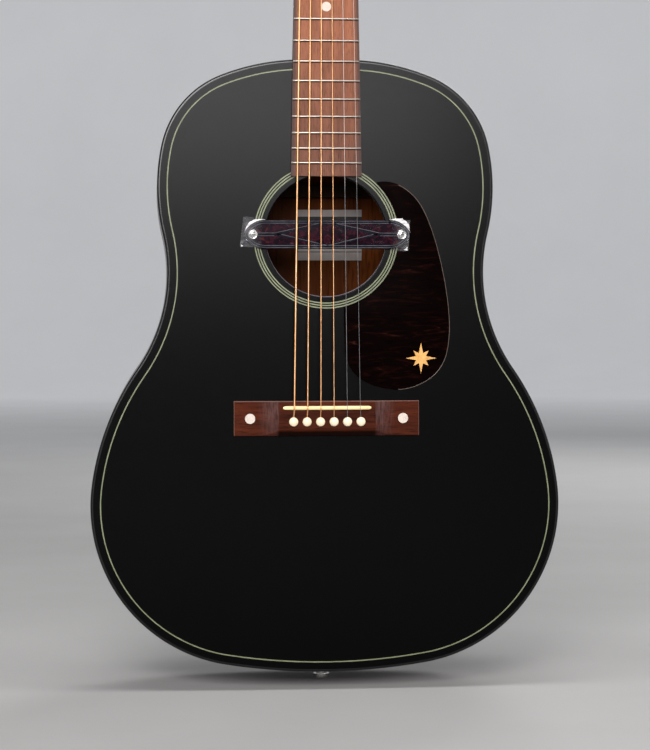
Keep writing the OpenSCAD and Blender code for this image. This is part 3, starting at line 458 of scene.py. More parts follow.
M = {
    "lacquer": surface("black_lacquer", [(0.0001, 0.0001, 0.0001), (0.0002, 0.00015, 0.0002)],
                       30.0, (0.226, 0.240), (0.02, 0.02), specular=0.076),
    "binding": surface("black_binding", [(0.0006, 0.0005, 0.0006), (0.0012, 0.0010, 0.0012)],
                       40.0, (0.22, 0.27), (0.04, 0.03), specular=0.38),
    "sage": surface("sage_inlay", [(0.125, 0.145, 0.066), (0.205, 0.23, 0.125)], 120.0,
                    (0.42, 0.52), (0.08, 0.03)),
    "mahogany": wood("mahogany", (0.030, 0.010, 0.006), (0.085, 0.028, 0.014),
                     rough=(0.32, 0.45), pores=0.55, coat=0.15),
    "inner_back": wood("mahogany_bare", (0.066, 0.014, 0.0018), (0.19, 0.047, 0.0056), 50.0,
                       (0.6, 0.75), specular=0.08),
    "spruce": wood("spruce", (0.42, 0.27, 0.13), (0.62, 0.45, 0.25), 80.0, (0.6, 0.75), 0.12),
    # Painted shade: spruce darkened almost to black for the braces that sit in shadow inside the
    # body
    "spruce_in_painted_shade": wood("spruce_in_painted_shade", (0.012, 0.005, 0.002), (0.030, 0.012, 0.005), 80.0,
                           (0.6, 0.75), 0.2, specular=0.1),
    "rosewood": wood("rosewood", (0.016, 0.0035, 0.0016), (0.125, 0.030, 0.013), 120.0,
                     (0.5, 0.62), 0.5, "X", specular=0.07),
    "bridge_rosewood": wood("rosewood_bridge", (0.012, 0.0022, 0.0010), (0.105, 0.021, 0.0075),
                            120.0, (0.5, 0.62), 0.5, "X", specular=0.05),
    "walnut": wood("walnut", (0.088, 0.029, 0.015), (0.30, 0.108, 0.058), 190.0, (0.5, 0.65),
                   0.45, stretch=11.0, specular=0.2),
    "bone": surface("bone", [(0.88, 0.66, 0.28), (0.97, 0.82, 0.46)], 60.0, (0.3, 0.42),
                    (0.05, 0.05)),
    "cream": surface("cream_plastic", [(0.93, 0.74, 0.49), (1.0, 0.88, 0.67)], 90.0, (0.2, 0.3),
                     (0.03, 0.05), coat=0.2),
    "button": surface("aged_button_plastic", [(0.40, 0.32, 0.21), (0.56, 0.47, 0.33)], 90.0,
                      (0.25, 0.35), (0.03, 0.05), coat=0.1),
    "pearl": surface("pearl", [(0.46, 0.37, 0.30), (0.72, 0.63, 0.55), (0.60, 0.52, 0.46)],
                     260.0, (0.3, 0.4), (0.03, 0.03), distortion=1.2, specular=0.3),
    "inlay": surface("pearl_inlay", [(0.50, 0.41, 0.35), (0.74, 0.63, 0.55), (0.64, 0.54, 0.47)],
                     260.0, (0.4, 0.5), (0.03, 0.03), distortion=1.2, specular=0.1),
    "nickel": surface("nickel_plate", [(0.60, 0.59, 0.57), (0.74, 0.73, 0.71)], 160.0,
                      (0.12, 0.22), (0.03, 0.02), metallic=1.0),
    "tuner_nickel": surface("tuner_nickel_plate", [(0.34, 0.33, 0.32), (0.50, 0.49, 0.47)],
                            160.0, (0.22, 0.34), (0.03, 0.02), metallic=1.0),
    "fret_wire": surface("fret_wire", [(0.42, 0.37, 0.32), (0.54, 0.48, 0.42)], 60.0,
                         (0.27, 0.31), (0.0, 0.1), metallic=1.0),
    # Painted shadow colour for the strips below the frets
    "fret_shadow": surface("fret_painted_shadow", [(0.012, 0.005, 0.003), (0.030, 0.012, 0.008)], 200.0,
                    (0.6, 0.7), specular=0.05),
    "steel": surface("drawn_steel", [(0.30, 0.30, 0.31), (0.46, 0.46, 0.47)], 200.0,
                     (0.3, 0.45), (0.1, 0.03), (1, 1, 0.05), metallic=1.0),
    "brass": surface("brass", [(0.60, 0.42, 0.14), (0.78, 0.58, 0.24)], 120.0, (0.25, 0.4),
                     (0.05, 0.1), metallic=1.0),
    "gold": surface("gold_foil", [(0.52, 0.26, 0.060), (0.68, 0.38, 0.11)], 220.0, (0.35, 0.5),
                    (0.08, 0.03), metallic=0.35),
    "tortoise": surface("tortoise", [(0.0014, 0.0005, 0.0005), (0.0024, 0.0008, 0.0007),
                                     (0.008, 0.0020, 0.0014), (0.055, 0.018, 0.011)],
                        75.0, (0.24, 0.30), (0.02, 0.03), (0.5, 1, 3.0), 1.2,
                        [0.30, 0.55, 0.66, 0.80], specular=0.004),
    "pickup_tortoise": surface("pickup_tortoise",
                               [(0.0028, 0.0012, 0.0036), (0.0090, 0.0018, 0.0058),
                                (0.030, 0.0040, 0.010), (0.070, 0.022, 0.006)],
                               190.0, (0.35, 0.45), (0.03, 0.05), distortion=1.2,
                               stops=[0.36, 0.50, 0.62, 0.78], specular=0.03),
    # Painted highlight colour for the pickup's fine edge lines
    "line": surface("grey_line_painted_highlight", [(0.035, 0.036, 0.045), (0.12, 0.12, 0.135)], 150.0,
                    (0.4, 0.5), (0.04, 0.03), specular=0.1),
    "band": surface("slate_band", [(0.0036, 0.0038, 0.0075), (0.0075, 0.0078, 0.0135)], 150.0,
                    (0.35, 0.45), (0.03, 0.03), specular=0.03),
    # Painted highlight colour for the lower soundhole edge
    "hole_edge_painted_highlight": surface("hole_edge_painted_highlight", [(0.125, 0.112, 0.128), (0.170, 0.152, 0.172)],
                             90.0, (0.25, 0.35), (0.02, 0.02)),
    # Painted highlight colour for the pickguard's outer edge
    "guard_edge": surface("tortoise_edge_painted_highlight", [(0.070, 0.048, 0.038), (0.170, 0.125, 0.100)], 30.0,
                          (0.25, 0.35), (0.02, 0.02)),
    "black_plastic": surface("black_plastic", [(0.011, 0.011, 0.013), (0.020, 0.020, 0.023)],
                             120.0, (0.35, 0.48), (0.08, 0.04)),
    "copper": surface("copper_wire", [(0.32, 0.10, 0.035), (0.50, 0.19, 0.07)], 900.0,
                      (0.3, 0.42), (0.3, 0.08), (0.1, 1, 1), metallic=0.9),
    "magnet": surface("magnet", [(0.14, 0.14, 0.15), (0.22, 0.22, 0.23)], 150.0, (0.35, 0.5),
                      metallic=0.8),
    "felt": surface("felt", [(0.012, 0.012, 0.012), (0.035, 0.035, 0.035)], 700.0, (0.85, 0.95),
                    (0.5, 0.2), specular=0.2),
    "cable": surface("cable_sheath", [(0.012, 0.012, 0.012), (0.022, 0.022, 0.022)], 150.0,
                     (0.5, 0.62)),
    "plain": surface("plain_steel_string", [(0.15, 0.15, 0.155), (0.24, 0.235, 0.24)], 60.0,
                     (0.45, 0.55), (0.02, 0.01), metallic=0.35),
    # Painted highlight colour for the film's bright folds
    "film_painted_glint": surface("film_painted_glint", [(0.30, 0.29, 0.31), (0.86, 0.83, 0.84)], 260.0,
                         (0.15, 0.35), (0.3, 0.2), (0.5, 1, 1.6), stops=[0.32, 0.50]),
}


def shade_bridge(f):
    """Greyer end grain and painted sheen in the scoops, a painted shade on the lower bevel,
    painted highlights on the upper edge and ends.
    """
    x, _, z = f.axes()
    x = f.calc("ABSOLUTE", x)
    # Real end grain with painted sheen: the scoops are tinted a greyer purple
    scoop = f.mix(f.mask(x, CORE_HALF, CORE_HALF + 1.2, 0.78), (0, 0, 0),
                  f.mask(x, SCOOP_END + 2.0, CORE_HALF + 7.0))
    scoop = f.mix(scoop, (0, 0, 0), f.mask(z, BRIDGE_LOW.z, BRIDGE_HIGH.z - 10.0, 0.75, 0.25))
    grain = f.noise(f.coords((1, 1, 0.12)), 900.0, 4.0)
    f.tint(scoop, f.ramp(grain, [(0.38, (0.060, 0.030, 0.028)), (0.62, (0.145, 0.084, 0.080))]))
    # Painted shade: the downward-facing lower bevel of the core is darkened
    bevel = f.mix(f.mask(z, BRIDGE_LOW.z + 4.8, BRIDGE_LOW.z + 3.4), (0, 0, 0),
                  f.mask(x, CORE_HALF + 3.0, CORE_HALF))
    f.tint(bevel, (0.009, 0.0026, 0.0016))
    # Painted highlights: the sharp upper edge and both ends are tinted lighter, where they catch
    # the light
    f.tint(f.mask(z, BRIDGE_HIGH.z - 0.60, BRIDGE_HIGH.z - 0.45, 0.6), (0.26, 0.15, 0.125))
    f.tint(f.mask(x, BRIDGE_HIGH.x - 0.55, BRIDGE_HIGH.x - 0.40, 0.6), (0.24, 0.13, 0.105))


def shade_board(f):
    """Lighter up the neck, darker near the soundhole, with painted shade along its tapering edges.
    """
    f.tint(f.mask(f.axes()[2], 430.0, 600.0, 0.35), (0.46, 0.17, 0.078))
    f.tint(f.mask(f.axes()[2], 520.0, 410.0, 0.35), (0.085, 0.045, 0.034))
    # Painted shade: darker and greyer along the board's tapering edges
    x, _, z = f.axes()
    taper = (BOARD_HIGH.x - NUT_HIGH.x) / (NUT_Z - BOARD_LOW.z)
    widened = f.calc("MULTIPLY_ADD", z, taper, f.calc("ABSOLUTE", x))
    edge_at = BOARD_HIGH.x + taper * BOARD_LOW.z
    f.tint(f.mask(widened, edge_at - 4.2, edge_at - 1.4, 0.85), (0.058, 0.037, 0.034))


shade_bridge(Finish(material=M["bridge_rosewood"]))
shade_board(Finish(material=M["walnut"]))
# Painted light: the plain strings turn lighter and warmer up the neck, fading in between 405 and
# 425 mm
plain_string = Finish(material=M["plain"])
plain_string.tint(plain_string.mask(plain_string.axes()[2], 405.0, 425.0, 0.8),
                  (0.78, 0.62, 0.57))
# The inside of the back gets its light from the right, so it falls off to the left
bare_back = Finish(material=M["inner_back"])
bare_back.tint(bare_back.mask(bare_back.axes()[0], -40.0, 55.0, 0.0, 0.72),
               (0.010, 0.0030, 0.0010))


def wound_material(name, colors, turns_per_mm=2.6):
    """Metal wrap: fine bands across the length of the string."""
    f = Finish(name)
    wave = f.node("TexWave", {"Vector": f.coords(), "Distortion": 0.0,
                              "Scale": turns_per_mm * 1000 / 20 * pi}, "Fac",
                  wave_type="BANDS", bands_direction="Z", wave_profile="SIN")
    patina = f.noise(f.coords(), 35.0, 4.0)
    return f.look(color=f.ramp(patina, [(0.35, colors[0]), (0.65, colors[1])]),
                  rough=f.vary(patina, 0.28, 0.42), normal=f.bump(wave, 0.6, 0.06),
                  metallic=0.85)


def film_material():
    """Clear protective film, whiter where it is creased; painted sheen makes it greyer towards its
    crumpled ends.
    """
    f = Finish("clear_film")
    crease = f.noise(f.coords((1, 1, 2.5)), 130.0, 5.0, 0.7, 0.8)
    haze = f.span(crease, 0.55, 0.85, 0.0, 0.06)
    reach = f.calc("ABSOLUTE", f.calc("SUBTRACT", f.axes()[0], PICKUP_X * MM))
    # Painted sheen: less clear and greyer towards both ends
    ends = f.mask(reach, 54.0, 67.0, 0.16)
    f.material.surface_render_method = "BLENDED"
    return f.look(alpha=f.calc("ADD", haze, ends), normal=f.bump(crease, 0.3, 0.3),
                  color=f.ramp(crease, [(0.4, (0.22, 0.22, 0.24)), (0.7, (0.50, 0.50, 0.53))]),
                  rough=f.vary(crease, 0.12, 0.3))


def label_material(low, high):
    """Plain paper with blank ruled bands: no lettering."""
    f = Finish("paper_label")
    paper, ink = (0.36, 0.325, 0.315), (0.028, 0.024, 0.024)
    bands = [(0.0, paper), (0.16, ink), (0.175, paper), (0.34, ink), (0.355, paper), (0.72, ink),
             (0.86, paper)]
    ruled = f.ramp(f.mask(f.axes()[2], low.z, high.z), bands, "CONSTANT")
    age = f.noise(f.coords(), 60.0, 5.0)
    stain = f.ramp(age, [(0.35, (0.82, 0.78, 0.72)), (0.65, (1.0, 1.0, 1.0))])
    return f.look(color=f.mix(1.0, ruled, stain, "MULTIPLY"), rough=f.vary(age, 0.7, 0.85))


LABEL_LOW, LABEL_HIGH = mm_box("sound_label")
LABEL_LOW += Vector((-1.1, 0, 2.3))
LABEL_HIGH += Vector((-1.1, 0, 1.1))
M["bronze"] = wound_material("bronze_wrap", [(0.74, 0.37, 0.16), (0.94, 0.55, 0.28)])
M["film"] = film_material()
M["label"] = label_material(LABEL_LOW, LABEL_HIGH)

# ---- finishes on the CAD nodes

FINISHED_NODES = {
    "lacquer": "soundboard headstock_veneer", "sage": "rosette front_purfling",
    "binding": "front_binding back_binding", "mahogany": "side_left side_right neck",
    "inner_back": "back_plate back_center_strip neck_block tail_block",
    "spruce": "linings x_braces", "spruce_in_painted_shade": "face_braces back_braces",
    "rosewood": "bridge_plate bridge", "label": "sound_label", "bone": "saddle nut",
    "cream": "bridge_pins", "pearl": "bridge_dots", "inlay": "fret_dots",
    "nickel": "bridge_bolts pickup_clamps pickup_screws end_jack jack_hardware",
    "tortoise": "pickguard", "gold": "pickguard_emblem", "pickup_tortoise": "pickup_cover",
    "line": "pickup_inlay", "black_plastic": "pickup_bobbin truss_rod_cover",
    "copper": "pickup_coil", "magnet": "pickup_magnet", "felt": "pickup_pads",
    "film": "pickup_film", "cable": "pickup_lead", "walnut": "fretboard",
    "fret_wire": "frets", "steel": "truss_rod", "brass": "truss_rod_nut", "bronze": "strings",
    "tuner_nickel": " ".join(["tuner_housings tuner_bushings"] + [
        f"tuner_knob_{index} tuner_post_{index}" for index in range(1, 7)]),
}
for finish, names in FINISHED_NODES.items():
    for node_name in names.split():
        mesh = nodes[node_name].data
        mesh.materials.clear()
        mesh.materials.append(M[finish])


# ---- body shell

def ring_object(name, profile, material, slot, replaced, half=None):
    """Sweeps a closed profile of (inset, depth function) pairs round the body outline."""
    rings = []
    for inset, depth in profile:
        points = half_outline(inset) if half else outline(inset)
        if half == "left":
            points = [(-x, z) for x, z in points]
        rings.append([(x, depth(x, z), z) for x, z in points])
    build = Build()
    count = len(rings[0])
    if half:
        build.rings(rings, close_ring=False, close_rows=True)
        rows = len(rings)
        build.faces.append(tuple(r * count for r in range(rows)))
        build.faces.append(tuple(r * count + count - 1 for r in range(rows - 1, -1, -1)))
    else:
        build.rings(rings, close_rows=True)
    build.finish(name, material, slot=slot, replaces=replaced)


def edge_profile(start, end, radius, width):
    """Cross-section of a binding strip with a rounded outer corner."""
    towards = copysign(1.0, end - start)
    corner = [(radius * (1 - sin(t)), start + towards * radius * (1 - cos(t)))
              for t in arc(0, 90, 6)[1:]]
    return [(width, start), (radius, start)] + corner + [(0.0, end), (width, end)]


front_rows = edge_profile(0.0, BINDING_HEIGHT, 1.6, SIDE_THICKNESS)
ring_object("binding_front_round",
            [(inset, lambda x, z, d=depth: FRONT + d) for inset, depth in front_rows],
            M["binding"], "black_binding", ["front_binding"])
ring_object("binding_back_round",
            [(inset, lambda x, z, d=depth: back_y(x, z) - d) for inset, depth in front_rows],
            M["binding"], "black_binding", ["back_binding"])
for half in ("left", "right"):
    ring_object(f"side_{half}_bent",
                [(0.0, lambda x, z: FRONT + BINDING_HEIGHT),
                 (0.0, lambda x, z: back_y(x, z) - BINDING_HEIGHT),
                 (SIDE_THICKNESS, lambda x, z: back_y(x, z) - BINDING_HEIGHT),
                 (SIDE_THICKNESS, lambda x, z: FRONT + BINDING_HEIGHT)],
                M["mahogany"], "mahogany", [f"side_{half}"], half=half)


BACK_THICKNESS = 2.8
STRIP_THICKNESS = 1.2
PAPER_THICKNESS = 0.4


def back_panel():
    """Arched back: stained outside, bare inside."""
    rings = []
    for x, z in half_outline(SIDE_THICKNESS, 2.0):
        if x < 0.5:
            continue
        across = [x * share for share in spread(-1, 1, 20)]
        rings.append([(c, back_y(c, z) - 0.02, z) for c in across]
                     + [(c, back_y(c, z, BACK_THICKNESS), z) for c in reversed(across)])
    panel = capped("back_panel_arched", rings, M["mahogany"], slot="mahogany",
                   replaces=["back_plate"])
    panel.data.materials.append(M["inner_back"])
    for polygon in panel.data.polygons:
        if polygon.normal.y < -0.5:
            polygon.material_index = 1


back_panel()


def label_sheet():
    """Thin paper following the arch of the back."""
    glued = BACK_THICKNESS + STRIP_THICKNESS
    heights = spread(LABEL_LOW.z, LABEL_HIGH.z, 10)
    rings = [[(x, back_y(x, z, glued), z) for z in heights]
             + [(x, back_y(x, z, glued + PAPER_THICKNESS), z) for z in reversed(heights)]
             for x in spread(LABEL_LOW.x, LABEL_HIGH.x, 16)]
    capped("paper_label_sheet", rings, M["label"], slot="paper", replaces=["sound_label"])


label_sheet()


def edge_hit(angle, loop):
    """Where a ray from the soundhole centre meets the outline."""
    direction = Vector((cos(angle), sin(angle)))
    centre = Vector((0.0, HOLE_Z))
    best = None
    for p, q in zip(loop, loop[1:] + loop[:1]):
        p, q = Vector(p), Vector(q)
        edge = q - p
        denominator = direction.x * edge.y - direction.y * edge.x
        if abs(denominator) < 1e-9:
            continue
        offset = p - centre
        along = (offset.x * edge.y - offset.y * edge.x) / denominator
        across = (offset.x * direction.y - offset.y * direction.x) / denominator
        if along > 0 and -1e-6 <= across <= 1 + 1e-6:
            best = along if best is None else min(best, along)
    return centre + direction * best


def top_plate():
    """Soundboard with a softened soundhole edge, swept between the hole and the outline."""
    loop = outline(SIDE_THICKNESS - 0.02, 1.0)
    spokes = 720
    rounding = 0.9
    hole_rows = [(HOLE_RADIUS, TOP_THICKNESS)]
    hole_rows += [(HOLE_RADIUS + rounding * (1 - cos(t)), rounding * (1 - sin(t)))
                  for t in arc(0, 90, 4)]
    angles = [2 * pi * k / spokes for k in range(spokes)]
    rim = [edge_hit(a, loop) for a in angles]
    rings = [[(r * cos(a), FRONT + d, HOLE_Z + r * sin(a)) for a in angles]
             for r, d in hole_rows]
    # Close rings keep the shading flat right up to both edges
    for margin in (0.2, 1.5):
        radius = HOLE_RADIUS + rounding + margin
        rings.append([(radius * cos(a), FRONT, HOLE_Z + radius * sin(a))
                      for a in angles])
    for share in (0.985, 1.0):
        rings.append([(share * p.x, FRONT, HOLE_Z + share * (p.y - HOLE_Z)) for p in rim])
    rings.append([(p.x, FRONT + TOP_THICKNESS, p.y) for p in rim])
    build = Build()
    build.rings(rings, close_rows=True)
    build.finish("soundboard_plate", M["lacquer"], slot="black_top",
                 replaces=["soundboard"])


top_plate()


def soundhole_edge():
    """Painted highlight: a light grey bead where the lacquer rounds over into the soundhole, lower
    half only.
    """
    radius, bead, steps = HOLE_RADIUS + 0.2, 0.34, 96
    path = [(radius * cos(t), FRONT + 0.35, HOLE_Z + radius * sin(t))
            for t in arc(188, 352, steps)]
    build = Build()
    build.tube(path, [bead * (0.15 + 0.85 * sin(t)) for t in arc(0, 180, steps)], 8)
    build.finish("soundhole_edge", M["hole_edge_painted_highlight"], slot="black_top")


soundhole_edge()


def flat_ring(name, rows, material, slot, replaced, depth):
    """Thin inlaid line flush with the top; rows are pairs of loops (outer, inner)."""
    build = Build()
    lift = 0.03
    for outer, inner in rows:
        section = [(outer, depth), (outer, -lift), (inner, -lift), (inner, depth)]
        build.rings([[(x, FRONT + y, z) for x, z in loop] for loop, y in section],
                    close_rows=True)
    build.finish(name, material, slot=slot, replaces=replaced)


PURFLING_INSET = 8.5
PURFLING_WIDTH = 1.0
flat_ring("purfling_line",
          [(outline(PURFLING_INSET - PURFLING_WIDTH / 2),
            outline(PURFLING_INSET + PURFLING_WIDTH / 2))],
          M["sage"], "sage_inlay", ["front_purfling"], 0.9)
ROSETTE_LINES = [(ROSETTE_OUTER - 1.1, ROSETTE_OUTER), (ROSETTE_OUTER - 3.2, ROSETTE_OUTER - 2.1),
                 (ROSETTE_OUTER - 5.25, ROSETTE_OUTER - 4.15)]
flat_ring("rosette_lines",
          [(disc_loop(0, HOLE_Z, outer, 360), disc_loop(0, HOLE_Z, inner, 360))
           for inner, outer in ROSETTE_LINES],
          M["sage"], "sage_inlay", ["rosette"], 0.9)

# ---- bridge

BRIDGE_TOP = FRONT - BRIDGE_LOW.y
WING_TOP = 3.4


def bridge_height(x, z):
    """Thickness of the bridge at a point, with its scoops, bevels and softened edges."""
    across = abs(x)
    if across <= CORE_HALF:
        crest = BRIDGE_TOP
    elif across >= SCOOP_END:
        crest = WING_TOP
    else:
        t = (across - CORE_HALF) / (SCOOP_END - CORE_HALF)
        crest = WING_TOP + (BRIDGE_TOP - WING_TOP) * (1 - sin(pi / 2 * t))
    up_edge = z - BRIDGE_LOW.z
    down_edge = BRIDGE_HIGH.z - z
    lower_bevel = WING_TOP - 0.6 + up_edge * (BRIDGE_TOP - WING_TOP + 0.6) / 5.5
    height = min(crest, lower_bevel)
    half = (BRIDGE_HIGH.x - BRIDGE_LOW.x) / 2
    for distance, radius in ((down_edge, 1.0), (half - across, 0.7), (up_edge, 0.5)):
        if distance < radius:
            height = min(height, height - radius + sqrt(
                max(0.0, radius ** 2 - (radius - distance) ** 2)))
    return height


def clustered(low, high, count, margin):
    """Evenly spaced values with extra ones near both ends."""
    inner = [low + margin + (high - low - 2 * margin) * k / count for k in range(count + 1)]
    edge = [margin * (1 - cos(radians(15.0 * k))) for k in range(6)]
    return [low + e for e in edge] + inner + [high - e for e in reversed(edge)]


def bridge_body():
    xs = clustered(BRIDGE_LOW.x, BRIDGE_HIGH.x, 190, 1.2)
    zs = clustered(BRIDGE_LOW.z, BRIDGE_HIGH.z, 40, 1.2)
    build = Build()
    for x in xs:
        for z in zs:
            build.verts.append((x, FRONT - bridge_height(x, z), z))
    rows, columns = len(xs), len(zs)
    build.grid(rows, columns)
    rim = [i * columns for i in range(rows)]
    rim += [(rows - 1) * columns + k for k in range(1, columns)]
    rim += [i * columns + columns - 1 for i in range(rows - 2, -1, -1)]
    rim += [k for k in range(columns - 2, 0, -1)]
    base = len(build.verts)
    for i in rim:
        x, _, z = build.verts[i]
        build.verts.append((x, FRONT, z))
    n = len(rim)
    for k in range(n):
        build.faces.append((rim[k], rim[(k + 1) % n], base + (k + 1) % n, base + k))
    build.faces.append(tuple(base + k for k in range(n - 1, -1, -1)))
    build.finish("bridge_carved", M["bridge_rosewood"], slot="rosewood", replaces=["bridge"],
                 smooth=30.0)


bridge_body()

SADDLE_HALF = (SADDLE_HIGH.x - SADDLE_LOW.x) / 2
SADDLE_WIDTH = SADDLE_HIGH.z - SADDLE_LOW.z
SADDLE_CREST = FRONT - SADDLE_LOW.y


def crown_drop(x, radius=BOARD_RADIUS):
    return radius - sqrt(radius * radius - x * x)


def saddle_blade():
    """Bone blade: rounded top, rounded ends, crowned across the strings."""
    rounding = 1.2
    half = SADDLE_WIDTH / 2
    rings = []
    for x in spread(-SADDLE_HALF, SADDLE_HALF, 60):
        end = SADDLE_HALF - abs(x)
        thick = half * sqrt(max(0.35, 1 - max(0.0, 1 - end / half * 1.6) ** 2))
        top = FRONT - SADDLE_CREST + crown_drop(x) + rounding
        rings.append([(x, FRONT - 2.0, SADDLE_Z + thick)]
                     + [(x, top - rounding * sin(t), SADDLE_Z + thick * cos(t))
                        for t in arc(0, 180, 9)]
                     + [(x, FRONT - 2.0, SADDLE_Z - thick)])
    capped("saddle_blade", rings, M["bone"], slot="bone", replaces=["saddle"], smooth=60)


saddle_blade()

PIN_PITCH = 11.3
PIN_LOW, PIN_HIGH = mm_box("bridge_pins")
PIN_HEAD = 3.85
PIN_Z = (PIN_LOW.z + PIN_HIGH.z) / 2


def pin_x(i):
    return (i - 2.5) * PIN_PITCH


def pins():
    build = Build()
    dome_base = BRIDGE_TOP + 1.1
    dome = FRONT - PIN_LOW.y - dome_base
    profile = [(2.1, -18.0), (2.3, BRIDGE_TOP - 0.5), (3.3, BRIDGE_TOP + 0.05),
               (PIN_HEAD, BRIDGE_TOP + 0.5)]
    profile += [(PIN_HEAD * cos(t), dome_base + dome * sin(t)) for t in arc(0, 90, 6)]
    for i in range(6):
        build.lathe((pin_x(i), FRONT, PIN_Z), (0, -1, 0), profile, 36)
    build.finish("bridge_pins_turned", M["cream"], slot="cream_plastic",
                 replaces=["bridge_pins"], smooth=50)


pins()

# ---- pickguard and emblem

GUARD_ANCHORS = [(30, 406), (46, 413), (61, 410.4), (75.5, 399.5), (86, 381.5), (95.5, 352),
                 (102.6, 315), (104.2, 284), (99, 260.5), (84.3, 245), (60.7, 238),
                 (32.8, 244.8), (18, 261), (15.2, 286), (15.4, 322), (20, 380)]
GUARD_LOW = mm_box("pickguard")[0]


def guard_loop():
    """Teardrop outline whose inner edge follows the outer ring of the rosette."""
    radius = ROSETTE_OUTER + 0.3
    outer = [p for p in smooth_loop(GUARD_ANCHORS, 14)
             if hypot(p[0], p[1] - HOLE_Z) > radius + 0.2]
    last = atan2(outer[0][1] - HOLE_Z, outer[0][0])
    first = atan2(outer[-1][1] - HOLE_Z, outer[-1][0])
    inner = [(radius * cos(t), HOLE_Z + radius * sin(t)) for t in spread(first, last, 48)]
    return outer + inner


def pickguard():
    build = Build()
    bevelled_plate(build, guard_loop(), GUARD_LOW.y, FRONT, 0.5, steps=6)
    build.finish("pickguard_plate", M["tortoise"], slot="tortoise",
                 replaces=["pickguard"], smooth=50)


pickguard()


def pickguard_edge():
    """Painted highlight: a lighter bead along the right-hand outer edge of the pickguard."""
    loop = inset_loop(guard_loop(), 0.30)
    outer = [p for p in loop if hypot(p[0], p[1] - HOLE_Z) > ROSETTE_OUTER + 6
             and p[0] > 60]
    build = Build()
    build.tube([(x, GUARD_LOW.y + 0.18, z) for x, z in outer], 0.26, 8)
    build.finish("pickguard_edge", M["guard_edge"], slot="tortoise")


pickguard_edge()

# ---- pickup

PICKUP_HALF = (PICKUP_HIGH.x - PICKUP_LOW.x) / 2
PICKUP_WIDE = (PICKUP_HIGH.z - PICKUP_LOW.z) / 2
PICKUP_FACE = PICKUP_LOW.y
SCREW_X = 62.5
PICKUP_NOSE = 18.2
DIAMOND_REACH = 42.0
DIAMOND_RISE = 9.4
BAND_LIFT = 0.03
BORDER = 2.7
FINE_LINE = 0.42
ARM_HALF = 1.15
NOSE_RADIUS = (PICKUP_NOSE ** 2 + PICKUP_WIDE ** 2) / (2 * PICKUP_WIDE)


def on_cover(points):
    return [(PICKUP_X + x, PICKUP_Z + z) for x, z in points]


def pickup_loop(inset=0.0):
    """Parallel sides that curve together to a slightly blunted point at each end."""
    radius = NOSE_RADIUS - inset
    shoulder = PICKUP_HALF - PICKUP_NOSE
    last = acos((NOSE_RADIUS - PICKUP_WIDE) / radius)
    upper = []
    for k in range(17):
        t = last * k / 16
        x, z = shoulder + radius * sin(t), PICKUP_WIDE - NOSE_RADIUS + radius * cos(t)
        tip = shoulder + radius * sin(last)
        upper.append((min(x, tip - 0.35 + 0.02 * k), z))
    right = upper[:-1] + [(x, -z) for x, z in reversed(upper[:-1])]
    return on_cover(right + [(-x, -z) for x, z in right])


def pickup_cover():
    build = Build()
    bevelled_plate(build, pickup_loop(), PICKUP_FACE, FRONT - 1.4, 1.1)
    build.box((PICKUP_X - 41, FRONT - 1.5, PICKUP_Z - 9.5),
              (PICKUP_X + 41, PICKUP_HIGH.y, PICKUP_Z + 9.5))
    build.finish("pickup_housing", M["pickup_tortoise"], slot="pickup_tortoise",
                 replaces=["pickup_cover"], smooth=50)


pickup_cover()


def stroke(build, path, width, lift=0.06):
    """Flat raised line along a path on the pickup face."""
    points = [Vector(p) for p in path]
    left, right = [], []
    for i, p in enumerate(points):
        ahead = points[min(i + 1, len(points) - 1)]
        behind = points[max(i - 1, 0)]
        d = (ahead - behind).normalized()
        n = Vector((-d.y, d.x)) * width / 2
        left.append(p + n)
        right.append(p - n)
    y = PICKUP_FACE - lift
    rings = [[(a.x, PICKUP_FACE + 0.1, a.y), (a.x, y, a.y), (b.x, y, b.y),
              (b.x, PICKUP_FACE + 0.1, b.y)] for a, b in zip(left, right)]
    build.rings(rings, caps=True)


def pickup_lines():
    """Slate border, diamond band and arms to the screws; the fine grey lines on their edges are
    painted highlights.
    """
    band, lines = Build(), Build()
    rim = pickup_loop(BORDER / 2 + 0.6)
    stroke(band, rim + rim[:2], BORDER, BAND_LIFT)
    # Painted highlights: grey lines along the cover's rounded rim and the inner edge of the border
    for inset in (0.9, BORDER):
        loop = pickup_loop(inset)
        stroke(lines, loop + loop[:2], FINE_LINE)
    corners = [(-DIAMOND_REACH, 0), (0, DIAMOND_RISE), (DIAMOND_REACH, 0), (0, -DIAMOND_RISE)]
    for start, end in zip(corners, corners[1:] + corners[:1]):
        stroke(band, on_cover([start, end]), 1.7, BAND_LIFT)
    for side in (-1, 1):
        # The line on the side that faces the light shows: outer above, inner below
        screw, fork = side * (SCREW_X - 4), side * 44.5
        for path in ([(screw, ARM_HALF), (fork, ARM_HALF), (side * 6.0, DIAMOND_RISE)],
                     [(side * 38.5, 0.0), (0.0, -9.3)],
                     [(screw, -ARM_HALF), (fork, -ARM_HALF)]):
            stroke(lines, on_cover(path), FINE_LINE)
        stroke(band, on_cover([(screw, 0), (side * 41.0, 0)]), 2 * ARM_HALF, BAND_LIFT)
    band.finish("pickup_band", M["band"], slot="pickup_line", replaces=["pickup_inlay"], smooth=30)
    lines.finish("pickup_lines", M["line"], slot="pickup_line", replaces=["pickup_inlay"],
                 smooth=30)


pickup_lines()


